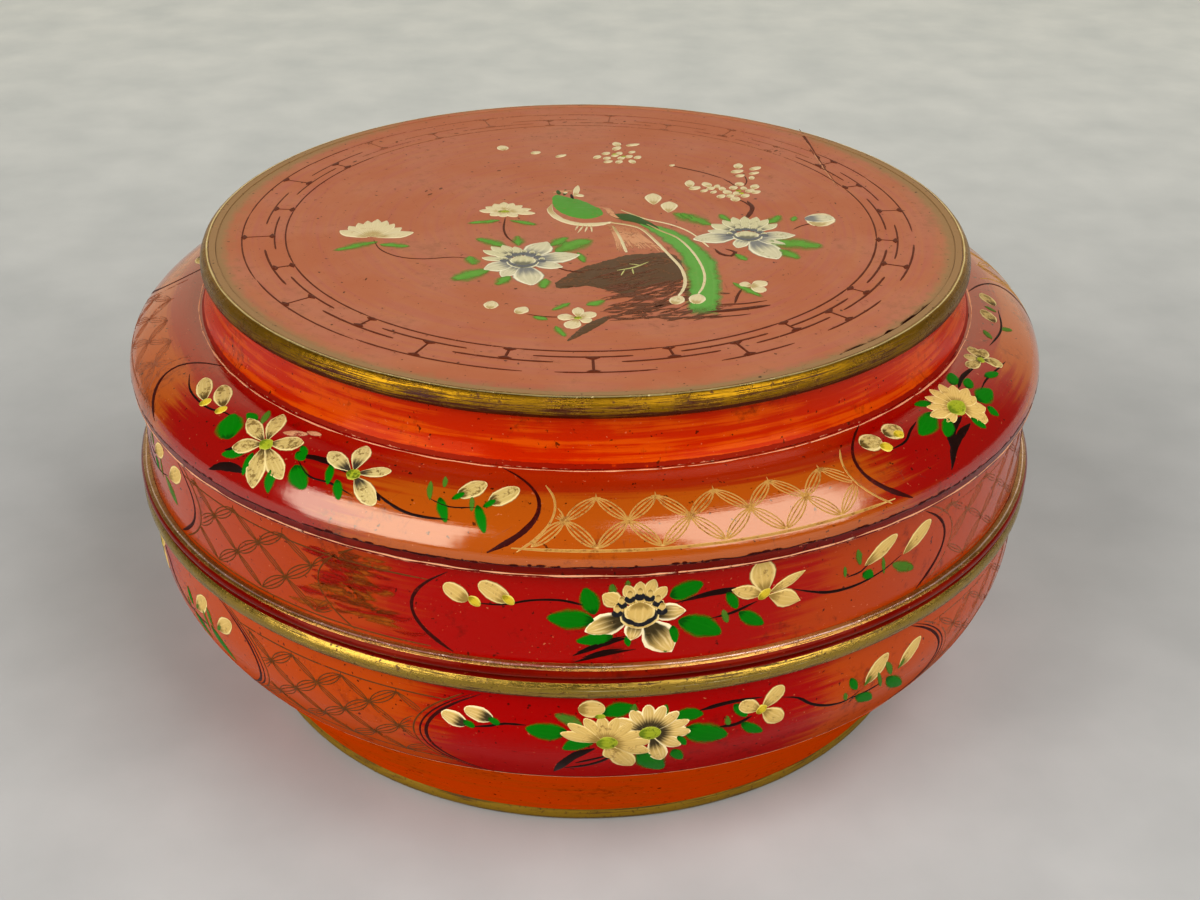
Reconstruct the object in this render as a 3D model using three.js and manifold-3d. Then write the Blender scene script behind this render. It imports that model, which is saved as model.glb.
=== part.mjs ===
// Round lacquered wedding basket: a coopered wooden bowl on a foot ring, and a built-up
// lid that lifts straight off. Millimetres, +Z up, origin at the centre of the foot's
// underside. The bowl is a ring of staves on a boarded floor. The lid is a side band of bent strips,
// a shoulder of sawn segments, a neck band and a boarded top inside a hoop.
import * as THREE from "three";
import { mergeVertices } from "three/addons/utils/BufferGeometryUtils.js";
import Module from "manifold-3d";

const wasm = await Module();
wasm.setup();

// Driving dimensions: foot and bowl
const footHeight = 6;
const footRadius = 149.5;
const footWidth = 13;
const footRounding = 2.5;
const bowlHeight = 95.4;
const bowlRimRadius = 188;
const bowlWall = 8;
const uprightWall = 25.7;
const bellyDrop = 26;
const bellyTaper = 1;
const underCurveRadius = 168;
const underCurveHeight = 33.7;
const floorThickness = 8;
const staveCount = 12;

// Driving dimensions: beads and locating lip
const baseBeadHeight = 8.2;
const baseBeadProud = 3.2;
const lidBeadHeight = 5.5;
const lidBeadProud = 3.7;
const lipThickness = 4.5;
const lipRise = 10;
const lipSeatHeight = 18;
const lipChamfer = 1.2;

// Driving dimensions: lid
const sideHeight = 41.7;
const sideThickness = 7;
const sideTaper = 1;
const shoulderOverhang = 3.5;
const shoulderEdgeHeight = 5;
const shoulderRise = 19;
const shoulderThickness = 9;
const shoulderCrownRun = 12;
const shoulderEdgeDrop = 11;
const segmentCount = 10;
const sideStripCount = 4;
const neckRadius = 155;
const neckThickness = 9;
const neckHeight = 17;
const neckFlare = 4.5;
const neckFlareHeight = 5;
const shoulderArris = 0.5;
const topThickness = 8;
const hoopWidth = 6.7;
const hoopOverhang = 3;
const hoopUndercut = 3.9;
const hoopBevel = 0.5;

// Driving dimensions: boards and the bamboo pins in their glued edges
const topBoardWidths = [38, 85, 85, 94];
const floorBoardWidths = [38, 85, 85, 81.5];
const topBoardTurn = 6;
const floorBoardTurn = 52;
const pinRadius = 2;
const pinLength = 24;
const pinSpacing = 100;
const pinsPerJoint = 2;

// Clearances
const glueGap = 0.3;
const restGap = 0.3;
const lidClearance = 0.8;

// Facets round a full ring, a common multiple of the stave, segment and strip counts
const ringFacets = 60;
const pinFacets = 12;
const curveSteps = 6;
const flareSteps = 4;

// Sizes worked out from the driving dimensions
const bowlBottom = footHeight + glueGap;
const rimHeight = bowlBottom + bowlHeight;
const floorTop = bowlBottom + floorThickness;
const bowlInnerRadius = bowlRimRadius - bowlWall;
const lipOuterRadius = bowlInnerRadius - glueGap;
const sideInnerRadius = lipOuterRadius + lidClearance;
const sideOuterBottom = sideInnerRadius + sideThickness;
const sideOuterTop = sideOuterBottom - sideTaper;
const shoulderRadius = sideOuterTop + shoulderOverhang;
const neckInnerRadius = neckRadius - neckThickness;
const neckFootRadius = neckRadius + neckFlare;
const shoulderSeatRadius = neckFootRadius + shoulderArris;
const hoopOuterRadius = neckRadius + hoopOverhang;
const hoopInnerRadius = hoopOuterRadius - hoopWidth;
const topBoardRadius = hoopInnerRadius - glueGap;

// Heights above the lid's own lower edge
const shoulderBottom = sideHeight + glueGap;
const shoulderEdgeTop = shoulderBottom + shoulderEdgeHeight;
const shoulderTop = shoulderEdgeTop + shoulderRise;
const neckBottom = shoulderTop + glueGap;
const neckTop = neckBottom + neckHeight;
const topBottom = neckTop + glueGap;
const topTop = topBottom + topThickness;

const finishes = {
  lacquer: { color: 0xa81c08, roughness: 0.22, metalness: 0 },
  neckLacquer: { color: 0xcc3d0a, roughness: 0.25, metalness: 0 },
  topLacquer: { color: 0xb27056, roughness: 0.3, metalness: 0 },
  insideLacquer: { color: 0x4a0f0a, roughness: 0.4, metalness: 0 },
  gilding: { color: 0x8a6a1c, roughness: 0.35, metalness: 0.8 },
  bamboo: { color: 0xc9a868, roughness: 0.6, metalness: 0 },
};

function point(radius, height) {
  return new THREE.Vector2(radius, height);
}

function degrees(angle) {
  return THREE.MathUtils.degToRad(angle);
}

// Drops the normals and merges shared corners, so that a geometry is one closed skin.
function closedSkin(geometry) {
  const skin = geometry.clone();
  skin.deleteAttribute("normal");
  skin.deleteAttribute("uv");
  return mergeVertices(skin);
}

function toSolid(geometry) {
  const skin = closedSkin(geometry);
  const vertProperties = new Float32Array(skin.attributes.position.array);
  const triVerts = new Uint32Array(skin.index.array);
  return new wasm.Manifold(new wasm.Mesh({ numProp: 3, vertProperties, triVerts }));
}

function toGeometry(solid) {
  const mesh = solid.getMesh();
  const geometry = new THREE.BufferGeometry();
  geometry.setAttribute("position", new THREE.BufferAttribute(mesh.vertProperties, 3));
  geometry.setIndex(new THREE.BufferAttribute(mesh.triVerts, 1));
  return geometry;
}

function piece(name, geometry, finish) {
  geometry.computeVertexNormals();
  const mesh = new THREE.Mesh(geometry, new THREE.MeshStandardMaterial(finishes[finish]));
  mesh.name = name;
  return mesh;
}

// Turns an outline of (radius, height) points round +Z. The outline climbs on its outer
// side and closes on itself.
function ringGeometry(outline) {
  const lathe = new THREE.LatheGeometry([...outline, outline[0]], ringFacets);
  lathe.rotateX(Math.PI / 2);
  return closedSkin(lathe);
}

function discGeometry(radius, thickness, bottom) {
  const disc = new THREE.CylinderGeometry(radius, radius, thickness, ringFacets);
  disc.rotateX(Math.PI / 2);
  disc.translate(0, 0, bottom + thickness / 2);
  return disc;
}

// A wedge of the full circle between two angles, set back half a glue gap on both faces.
function wedgeGeometry(startAngle, endAngle, reach, height) {
  const middle = (startAngle + endAngle) / 2;
  const apex = glueGap / 2 / Math.sin((endAngle - startAngle) / 2);
  const corner = (angle, radius) => point(
    apex * Math.cos(middle) + radius * Math.cos(angle),
    apex * Math.sin(middle) + radius * Math.sin(angle),
  );
  const outline = [
    corner(middle, 0),
    corner(startAngle, reach),
    corner(middle, reach),
    corner(endAngle, reach),
  ];
  return new THREE.ExtrudeGeometry(new THREE.Shape(outline), { depth: height, bevelEnabled: false });
}

// Saws a ring into equal segments with radial joints.
function segments(prefix, outline, count, finish) {
  const ring = toSolid(ringGeometry(outline));
  const reach = 2 * Math.max(...outline.map((corner) => corner.x));
  const height = 2 * Math.max(...outline.map((corner) => corner.y));
  const group = new THREE.Group();
  for (let index = 0; index < count; index += 1) {
    const start = index * (2 * Math.PI / count);
    const end = start + 2 * Math.PI / count;
    const sawn = ring.intersect(toSolid(wedgeGeometry(start, end, reach, height)));
    group.add(piece(`${prefix}_${index + 1}`, toGeometry(sawn), finish));
  }
  return group;
}

function pinGeometry(radius, length, across, along, height) {
  const pin = new THREE.CylinderGeometry(radius, radius, length, pinFacets);
  pin.rotateZ(Math.PI / 2);
  pin.translate(across, along, height);
  return pin;
}

// A round panel of edge-glued boards. Blind pins cross every joint at mid thickness. The
// boards share the panel's width in proportion to the widths given.
function boardedPanel(prefix, radius, thickness, bottom, widths, turn, finish) {
  const boardCount = widths.length;
  const widthSum = widths.reduce((sum, width) => sum + width, 0);
  const edges = [radius];
  for (const width of widths) {
    edges.push(edges[edges.length - 1] - 2 * radius * width / widthSum);
  }
  const pinPlaces = [];
  for (const edge of edges.slice(1, -1)) {
    for (let place = 0; place < pinsPerJoint; place += 1) {
      pinPlaces.push([edge, (place / (pinsPerJoint - 1) - 0.5) * pinSpacing]);
    }
  }
  const middle = bottom + thickness / 2;
  const turned = (geometry) => geometry.rotateZ(degrees(turn));
  let panel = toSolid(discGeometry(radius, thickness, bottom));
  for (const [across, along] of pinPlaces) {
    const hole = pinGeometry(pinRadius + glueGap, pinLength + 2 * glueGap, across, along, middle);
    panel = panel.subtract(toSolid(turned(hole)));
  }
  const group = new THREE.Group();
  for (let board = 0; board < boardCount; board += 1) {
    const outerEdge = edges[board] - (board > 0 ? glueGap / 2 : -glueGap);
    const innerEdge = edges[board + 1] + (board < boardCount - 1 ? glueGap / 2 : -glueGap);
    const strip = new THREE.BoxGeometry(outerEdge - innerEdge, 3 * radius, 3 * thickness);
    strip.translate((outerEdge + innerEdge) / 2, 0, middle);
    const sawn = panel.intersect(toSolid(turned(strip)));
    group.add(piece(`${prefix}_board_${board + 1}`, toGeometry(sawn), finish));
  }
  pinPlaces.forEach(([across, along], index) => {
    const pin = turned(pinGeometry(pinRadius, pinLength, across, along, middle));
    group.add(piece(`${prefix}_pin_${index + 1}`, closedSkin(pin), "bamboo"));
  });
  return group;
}

// A half-round bead: flat against the wall inside, bulging outwards.
function beadOutline(innerRadius, proud, bottom, height) {
  const outline = [];
  for (let step = 0; step <= curveSteps; step += 1) {
    const angle = -Math.PI / 2 + Math.PI * step / curveSteps;
    const radius = innerRadius + proud * Math.max(0, Math.cos(angle));
    outline.push(point(radius, bottom + height / 2 * (1 + Math.sin(angle))));
  }
  return outline;
}

// Moves each point of a curve square to it. The curve runs down the outside of a wall,
// so a positive distance moves towards the axis.
function offsetCurve(curve, distance, steps) {
  const moved = [];
  for (let step = 0; step <= steps; step += 1) {
    const place = curve.getPoint(step / steps);
    const along = curve.getTangent(step / steps);
    moved.push(point(place.x + distance * along.y, place.y - distance * along.x));
  }
  return moved;
}

// The radius of a polyline at a height, for a polyline whose height keeps falling.
function radiusAt(polyline, height) {
  const index = polyline.findIndex((corner) => corner.y <= height);
  const above = polyline[Math.max(index - 1, 0)];
  const below = polyline[index];
  const share = (above.y - height) / (above.y - below.y);
  return above.x + share * (below.x - above.x);
}

function footRing() {
  const inner = footRadius - footWidth;
  const round = new THREE.EllipseCurve(
    footRadius - footRounding, footHeight / 2, footRounding, footHeight / 2, -Math.PI / 2, Math.PI / 2,
  );
  const outline = [point(inner, 0), ...round.getPoints(curveSteps), point(inner, footHeight)];
  return piece("foot_ring", ringGeometry(outline), "gilding");
}

// The outside of the bowl from the end of its upright wall down to the foot.
const bellyTop = rimHeight - uprightWall;
const bellyCurve = new THREE.CubicBezierCurve(
  point(bowlRimRadius, bellyTop),
  point(bowlRimRadius - bellyTaper, bellyTop - bellyDrop),
  point(underCurveRadius, bowlBottom + underCurveHeight),
  point(footRadius, bowlBottom),
);
const bellyInside = offsetCurve(bellyCurve, bowlWall, curveSteps);
const rabbetHeight = floorTop + glueGap;
const rabbetRadius = radiusAt(bellyInside, rabbetHeight);
const floorRadius = rabbetRadius - glueGap;

function bowlStaves() {
  const outside = bellyCurve.getPoints(curveSteps).reverse();
  const inside = bellyInside.filter((corner) => corner.y > rabbetHeight + glueGap);
  const outline = [
    point(rabbetRadius, bowlBottom),
    ...outside,
    point(bowlRimRadius, rimHeight),
    point(bowlInnerRadius, rimHeight),
    ...inside,
    point(rabbetRadius, rabbetHeight),
  ];
  return segments("bowl_stave", outline, staveCount, "lacquer");
}

function locatingLip() {
  const inner = lipOuterRadius - lipThickness;
  const bottom = rimHeight - lipSeatHeight;
  const top = rimHeight + lipRise;
  const outline = [
    point(inner, bottom),
    point(lipOuterRadius, bottom),
    point(lipOuterRadius, top - lipChamfer),
    point(lipOuterRadius - lipChamfer, top),
    point(inner, top),
  ];
  return piece("locating_lip", ringGeometry(outline), "insideLacquer");
}

function baseBead() {
  const inner = bowlRimRadius + glueGap;
  const outline = beadOutline(inner, baseBeadProud, rimHeight - baseBeadHeight, baseBeadHeight);
  return piece("base_bead", ringGeometry(outline), "gilding");
}

function lidBead() {
  const inner = sideOuterBottom + glueGap;
  const outline = beadOutline(inner, lidBeadProud, 0, lidBeadHeight);
  return piece("lid_bead", ringGeometry(outline), "gilding");
}

function lidSideBand() {
  const outline = [
    point(sideInnerRadius, 0),
    point(sideOuterBottom, 0),
    point(sideOuterTop, sideHeight),
    point(sideInnerRadius, sideHeight),
  ];
  return segments("lid_side_strip", outline, sideStripCount, "lacquer");
}

function lidShoulder() {
  const crown = new THREE.CubicBezierCurve(
    point(shoulderRadius, shoulderEdgeTop),
    point(shoulderRadius, shoulderEdgeTop + shoulderEdgeDrop),
    point(shoulderSeatRadius + shoulderCrownRun, shoulderTop),
    point(shoulderSeatRadius, shoulderTop),
  );
  const outside = crown.getPoints(curveSteps);
  const inside = offsetCurve(crown, -shoulderThickness, curveSteps)
    .filter((corner) => corner.x > neckInnerRadius + glueGap)
    .reverse();
  const outline = [
    point(sideInnerRadius, shoulderBottom),
    point(shoulderRadius, shoulderBottom),
    ...outside,
    point(neckInnerRadius, shoulderTop),
    point(neckInnerRadius, shoulderTop - shoulderThickness),
    ...inside,
  ];
  return segments("shoulder_segment", outline, segmentCount, "lacquer");
}

function neckBand() {
  const flare = new THREE.QuadraticBezierCurve(
    point(neckFootRadius, neckBottom),
    point(neckRadius, neckBottom + neckFlareHeight),
    point(neckRadius, neckTop),
  );
  const outline = [
    point(neckInnerRadius, neckBottom),
    ...flare.getPoints(flareSteps),
    point(neckInnerRadius, neckTop),
  ];
  return piece("neck_band", ringGeometry(outline), "neckLacquer");
}

function rimHoop() {
  const underside = new THREE.QuadraticBezierCurve(
    point(hoopOuterRadius - hoopUndercut, topBottom),
    point(hoopOuterRadius, topBottom),
    point(hoopOuterRadius, topBottom + hoopUndercut),
  );
  const outline = [
    point(hoopInnerRadius, topBottom),
    ...underside.getPoints(flareSteps),
    point(hoopOuterRadius, topTop - hoopBevel),
    point(hoopOuterRadius - hoopBevel, topTop),
    point(hoopInnerRadius, topTop),
  ];
  return piece("top_rim_hoop", ringGeometry(outline), "gilding");
}

const base = new THREE.Group();
base.add(
  footRing(),
  bowlStaves(),
  boardedPanel(
    "floor", floorRadius, floorThickness, bowlBottom, floorBoardWidths, floorBoardTurn, "insideLacquer",
  ),
  locatingLip(),
  baseBead(),
);

const lid = new THREE.Group();
lid.position.z = rimHeight + restGap;
lid.add(
  lidBead(),
  lidSideBand(),
  lidShoulder(),
  neckBand(),
  rimHoop(),
  boardedPanel("top", topBoardRadius, topThickness, topBottom, topBoardWidths, topBoardTurn, "topLacquer"),
);

const basket = new THREE.Group();
basket.add(base, lid);

export default basket;
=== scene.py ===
"""Red lacquered wedding basket, closed, on a plain pale studio floor.

Each turned wooden piece gets a smooth lacquered or gilded skin. The folk painting on it is
a film of thick paint, drawn stroke by stroke in millimetres of the surface that it lies on."""
import random
from math import atan2, ceil, comb, cos, degrees, exp, hypot, log, pi, radians, sin

import bpy
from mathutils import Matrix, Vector, geometry, noise


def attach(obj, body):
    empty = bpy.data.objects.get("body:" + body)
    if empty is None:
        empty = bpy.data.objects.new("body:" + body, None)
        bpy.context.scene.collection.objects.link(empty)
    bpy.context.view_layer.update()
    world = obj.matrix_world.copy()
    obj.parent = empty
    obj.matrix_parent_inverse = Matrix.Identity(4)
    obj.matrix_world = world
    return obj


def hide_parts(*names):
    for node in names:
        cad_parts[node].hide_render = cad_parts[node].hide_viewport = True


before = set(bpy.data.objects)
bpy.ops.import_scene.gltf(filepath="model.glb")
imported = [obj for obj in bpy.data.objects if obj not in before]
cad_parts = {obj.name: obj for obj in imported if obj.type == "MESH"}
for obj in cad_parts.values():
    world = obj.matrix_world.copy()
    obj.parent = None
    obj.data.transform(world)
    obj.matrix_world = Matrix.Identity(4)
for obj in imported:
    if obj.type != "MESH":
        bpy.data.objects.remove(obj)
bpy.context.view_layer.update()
hand = random.Random(7)
MM = 0.001


# ---------------------------------------------------------------- colours and nodes

EASED = {"interpolation_type": "SMOOTHSTEP"}


def colour(code):
    """An sRGB hex colour as the linear RGBA that shaders take."""
    channels = [int(code[i:i + 2], 16) / 255 for i in (1, 3, 5)]
    return (*(c / 12.92 if c <= 0.04045 else ((c + 0.055) / 1.055) ** 2.4 for c in channels), 1.0)


def add(tree, kind, inputs=(), output=0, **settings):
    """Adds a node with its settings. Inputs stand in the sockets' own order or under their keys,
    and each is a number, a colour or another node's output."""
    node = tree.nodes.new("ShaderNode" + kind)
    for key, value in settings.items():
        setattr(node, key, value)
    for key, value in inputs.items() if isinstance(inputs, dict) else enumerate(inputs):
        if isinstance(value, bpy.types.NodeSocket):
            tree.links.new(value, node.inputs[key])
        else:
            node.inputs[key].default_value = value
    return node.outputs[output] if node.outputs else None


def bare_finish(name):
    """A new finish and its empty node tree."""
    material = bpy.data.materials.new(name)
    material.use_nodes = True
    material.node_tree.nodes.clear()
    return material, material.node_tree


# ---------------------------------------------------------------- finishes

def lacquer(name, coat, thin, edge, rub="#D98E6C", chip="#260402", panel=None, thin_from=0.75,
            red_from=None, dust_and_sheen=None, melt=0.1, spared=None, gloss=0.08, dull=0.3, edge_dull=1.0,
            washed=None, shine=1.0, ior=1.5, glint="#FFFFFF"):
    """Old oil lacquer brushed on wood: a deep coat worn thin in streaks, fine specks and cracks,
    rubbed arrises and dark chips. It shines wet in its own colour face on, and pale at a low
    angle. panel is the turn of the middle of a painted panel. red_from, spared and washed are
    places in millimetres, up or back, where the coat stays red, the edge tint fades and the
    shine has gone."""
    material, tree = bare_finish(name)
    where = add(tree, "TexCoord", output="Object")
    height = add(tree, "SeparateXYZ", [where], "Z")
    across, back = height.node.outputs["X"], height.node.outputs["Y"]
    turn = add(tree, "Math", [back, across], operation="ARCTAN2")
    run, tint, wear = (add(tree, "Attribute", output="Fac", attribute_name=key)
                       for key in ("run", "tint", "wear"))

    # Brush streaks run round the box, about 60 mm long and 2.2 mm apart. Cloudy patches are some
    # 34 mm across, flakes 4 mm, and grit 1 to 2 mm, drawn a little coarse so that it shows.
    round_box = add(tree, "CombineXYZ", [across, back, run])
    drawn_out = add(tree, "Mapping", {"Vector": round_box, "Scale": (1 / (60 * MM), 1 / (60 * MM), 1 / 2.2)})
    streaks = add(tree, "TexNoise", {"Vector": drawn_out, "Scale": 1.0, "Detail": 5.0, "Roughness": 0.6})
    clouds, flakes, grit, specks, ripples = (
        add(tree, "TexNoise", {"Vector": where, "Scale": 1 / (mm * MM), "Detail": detail, "Roughness": grain})
        for mm, detail, grain in ((34, 4, 0.55), (4, 6, 0.7), (1.4, 3, 0.5), (2.3, 4, 0.5), (14, 2, 0.5)))

    # The coat has worn thin in streaks, and more so between the painted panels, four times round.
    uneven = add(tree, "Math", [streaks, 1.3, clouds], operation="MULTIPLY_ADD")
    if panel is None:
        thinned = add(tree, "MapRange", [uneven, 1.0, 1.38], **EASED)
    else:
        fourfold = add(tree, "Math", [turn, 4.0, -4 * radians(panel)], operation="MULTIPLY_ADD")
        wave = add(tree, "Math", [fourfold], operation="COSINE")
        between = add(tree, "Math", [uneven, wave], operation="SUBTRACT")
        thinned = add(tree, "MapRange", [between, thin_from, thin_from + 0.8], **EASED)
    if red_from is not None:
        rising = add(tree, "Math", [streaks, 3.2 * MM, height], operation="MULTIPLY_ADD")
        low, high = (red_from + 1.0) * MM, (red_from + 2.6) * MM
        below = add(tree, "MapRange", [rising, low, high, 1.0, 0.3], **EASED)
        thinned = add(tree, "Math", [thinned, below], operation="MULTIPLY")

    # Where the finish changes towards an edge, where arrises are rubbed, and where chips are out.
    if spared:
        behind = add(tree, "MapRange", [back, spared * MM, (spared + 80) * MM, 1.0, 0.35], **EASED)
        tint = add(tree, "Math", [tint, behind], operation="MULTIPLY")
    ragged = add(tree, "Math", [flakes, 0.7, tint], operation="MULTIPLY_ADD")
    edged = add(tree, "MapRange", [ragged, 0.82 - melt / 2, 0.82 + melt / 2], **EASED)
    nibbled = add(tree, "Math", [flakes, 1.9], operation="MULTIPLY")
    rubbed, knocked = (add(tree, "Math", [wear, way, nibbled], operation="MULTIPLY_ADD")
                       for way in (0.75, -0.75))
    chipped = add(tree, "MapRange", [knocked, 1.65, 1.73], **EASED)
    crazing = add(tree, "TexVoronoi", {"Vector": where, "Scale": 1 / (11 * MM)}, feature="DISTANCE_TO_EDGE")
    crack = add(tree, "MapRange", [crazing, 0.0, 0.012, 1.0, 0.0])
    open_here = add(tree, "MapRange", [flakes, 0.5, 0.62, 0.0, 0.5], **EASED)
    cracked = add(tree, "Math", [crack, open_here], operation="MULTIPLY")
    grime = add(tree, "Math", [clouds, flakes], operation="ADD")

    paint = colour(coat)
    layers = [(thin, thinned, 0, 1, 1), ("#3C0400", grime, 1.08, 1.34, 0.55), (edge, edged, 0, 1, 1),
              ("#C8744A", grit, 0.7, 0.74, 0.5), ("#1E0300", specks, 0.67, 0.7, 0.8),
              (rub, rubbed, 1.55, 1.69, 0.8), (chip, chipped, 0, 1, 0.95), ("#2E0602", cracked, 0, 1, 1)]
    # Painted sheen: dust_and_sheen is a pale cloudy layer, partly real dust and partly the milky reflection
    # of the pale room painted into the colour.
    if dust_and_sheen:
        layers.insert(2, (dust_and_sheen, clouds, 0.3, 0.7, 0.55))
    for tone, mask, low, high, most in layers:
        amount = add(tree, "MapRange", [mask, low, high, 0.0, most], **EASED)
        paint = add(tree, "Mix", {0: amount, 6: paint, 7: colour(tone)}, 2, data_type="RGBA")

    skin = ripples
    for part, share in ((flakes, 0.3), (streaks, 1.0), (chipped, -0.5)):
        skin = add(tree, "Math", [part, share, skin], operation="MULTIPLY_ADD")
    bump = add(tree, "Bump", {"Strength": 0.4, "Distance": 0.25 * MM, "Height": skin})
    lost = add(tree, "Math", [chipped, cracked], operation="MAXIMUM")
    matt = add(tree, "Math", [edged, edge_dull], operation="MULTIPLY")
    matt = add(tree, "Math", [matt, lost], operation="MAXIMUM")
    if washed is not None:
        # Low on the wall, washing and handling have taken the shine off.
        low = add(tree, "MapRange", [height, washed * MM, (washed + 24) * MM, 3.0, 0.0], **EASED)
        matt = add(tree, "Math", [matt, low], operation="MAXIMUM")
    smooth = add(tree, "MapRange", [grime, 0.8, 1.3, gloss, gloss + 0.06])
    shader = add(tree, "BsdfPrincipled", {
        "Base Color": paint, "IOR": ior, "Specular IOR Level": 0.5 * shine, "Specular Tint": colour(glint),
        "Normal": bump, "Roughness": add(tree, "Math", [matt, dull, smooth], operation="MULTIPLY_ADD")})
    add(tree, "OutputMaterial", [shader])
    return material


def gilding(name, leaf, ground, kept_from=0.5, metal=0.85, rough=0.24, bright="#F0E2A6", shade_under=0.2,
            clear=0.0):
    """Brass-coloured leaf laid over dark lacquer and rubbed by handling: the leaf shines in streaks and on
    the arrises, and the brown ground shows in patches and pits. shade_under lets more of the dark ground show
    where the tint marks an underside, as painted shade. clear is how much clear lacquer lies over it, which
    turns the lights in it pale."""
    material, tree = bare_finish(name)
    where = add(tree, "TexCoord", output="Object")
    height = add(tree, "SeparateXYZ", [where], "Z")
    run, wear, tint = (add(tree, "Attribute", output="Fac", attribute_name=key)
                       for key in ("run", "wear", "tint"))
    round_box = add(tree, "CombineXYZ", [height.node.outputs["X"], height.node.outputs["Y"], run])
    # Rubbing marks run round the box, about 20 mm long and half a millimetre apart.
    drawn_out = add(tree, "Mapping", {"Vector": round_box, "Scale": (1 / (20 * MM), 1 / (20 * MM), 1 / 0.45)})
    scratches = add(tree, "TexNoise", {"Vector": drawn_out, "Scale": 1.0, "Detail": 5.0, "Roughness": 0.65})
    patches, pits, dents = (
        add(tree, "TexNoise", {"Vector": where, "Scale": 1 / (mm * MM), "Detail": detail, "Roughness": grain})
        for mm, detail, grain in ((14, 6, 0.65), (1.6, 4, 0.6), (7, 2, 0.5)))
    leafed = scratches
    for part, share in ((patches, 0.35), (wear, 0.3), (tint, -shade_under)):
        leafed = add(tree, "Math", [part, share, leafed], operation="MULTIPLY_ADD")
    kept = add(tree, "MapRange", [leafed, kept_from + 0.1, kept_from + 0.28], **EASED)
    whole = add(tree, "MapRange", [pits, 0.58, 0.68, 1.0, 0.2], **EASED)
    kept = add(tree, "Math", [kept, whole], operation="MULTIPLY")
    polished = add(tree, "Math", [wear, scratches], operation="ADD")
    polished = add(tree, "MapRange", [polished, 1.05, 1.35, 0.0, 0.9], **EASED)
    paint = add(tree, "Mix", {0: kept, 6: colour(ground), 7: colour(leaf)}, 2, data_type="RGBA")
    paint = add(tree, "Mix", {0: polished, 6: paint, 7: colour(bright)}, 2, data_type="RGBA")
    skin = dents
    for part, share in ((scratches, 0.5), (pits, 0.5), (kept, 0.3)):
        skin = add(tree, "Math", [part, share, skin], operation="MULTIPLY_ADD")
    bump = add(tree, "Bump", {"Strength": 0.6, "Distance": 0.4 * MM, "Height": skin})
    shader = add(tree, "BsdfPrincipled", {
        "Base Color": paint, "Specular IOR Level": 0.15, "Normal": bump, "Coat Normal": bump,
        "Coat Weight": clear, "Coat Roughness": 0.08, "Coat IOR": 1.6,
        "Metallic": add(tree, "Math", [kept, metal], operation="MULTIPLY"),
        "Roughness": add(tree, "MapRange", [patches, 0.35, 0.65, rough, rough + 0.2])})
    add(tree, "OutputMaterial", [shader])
    return material


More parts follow.
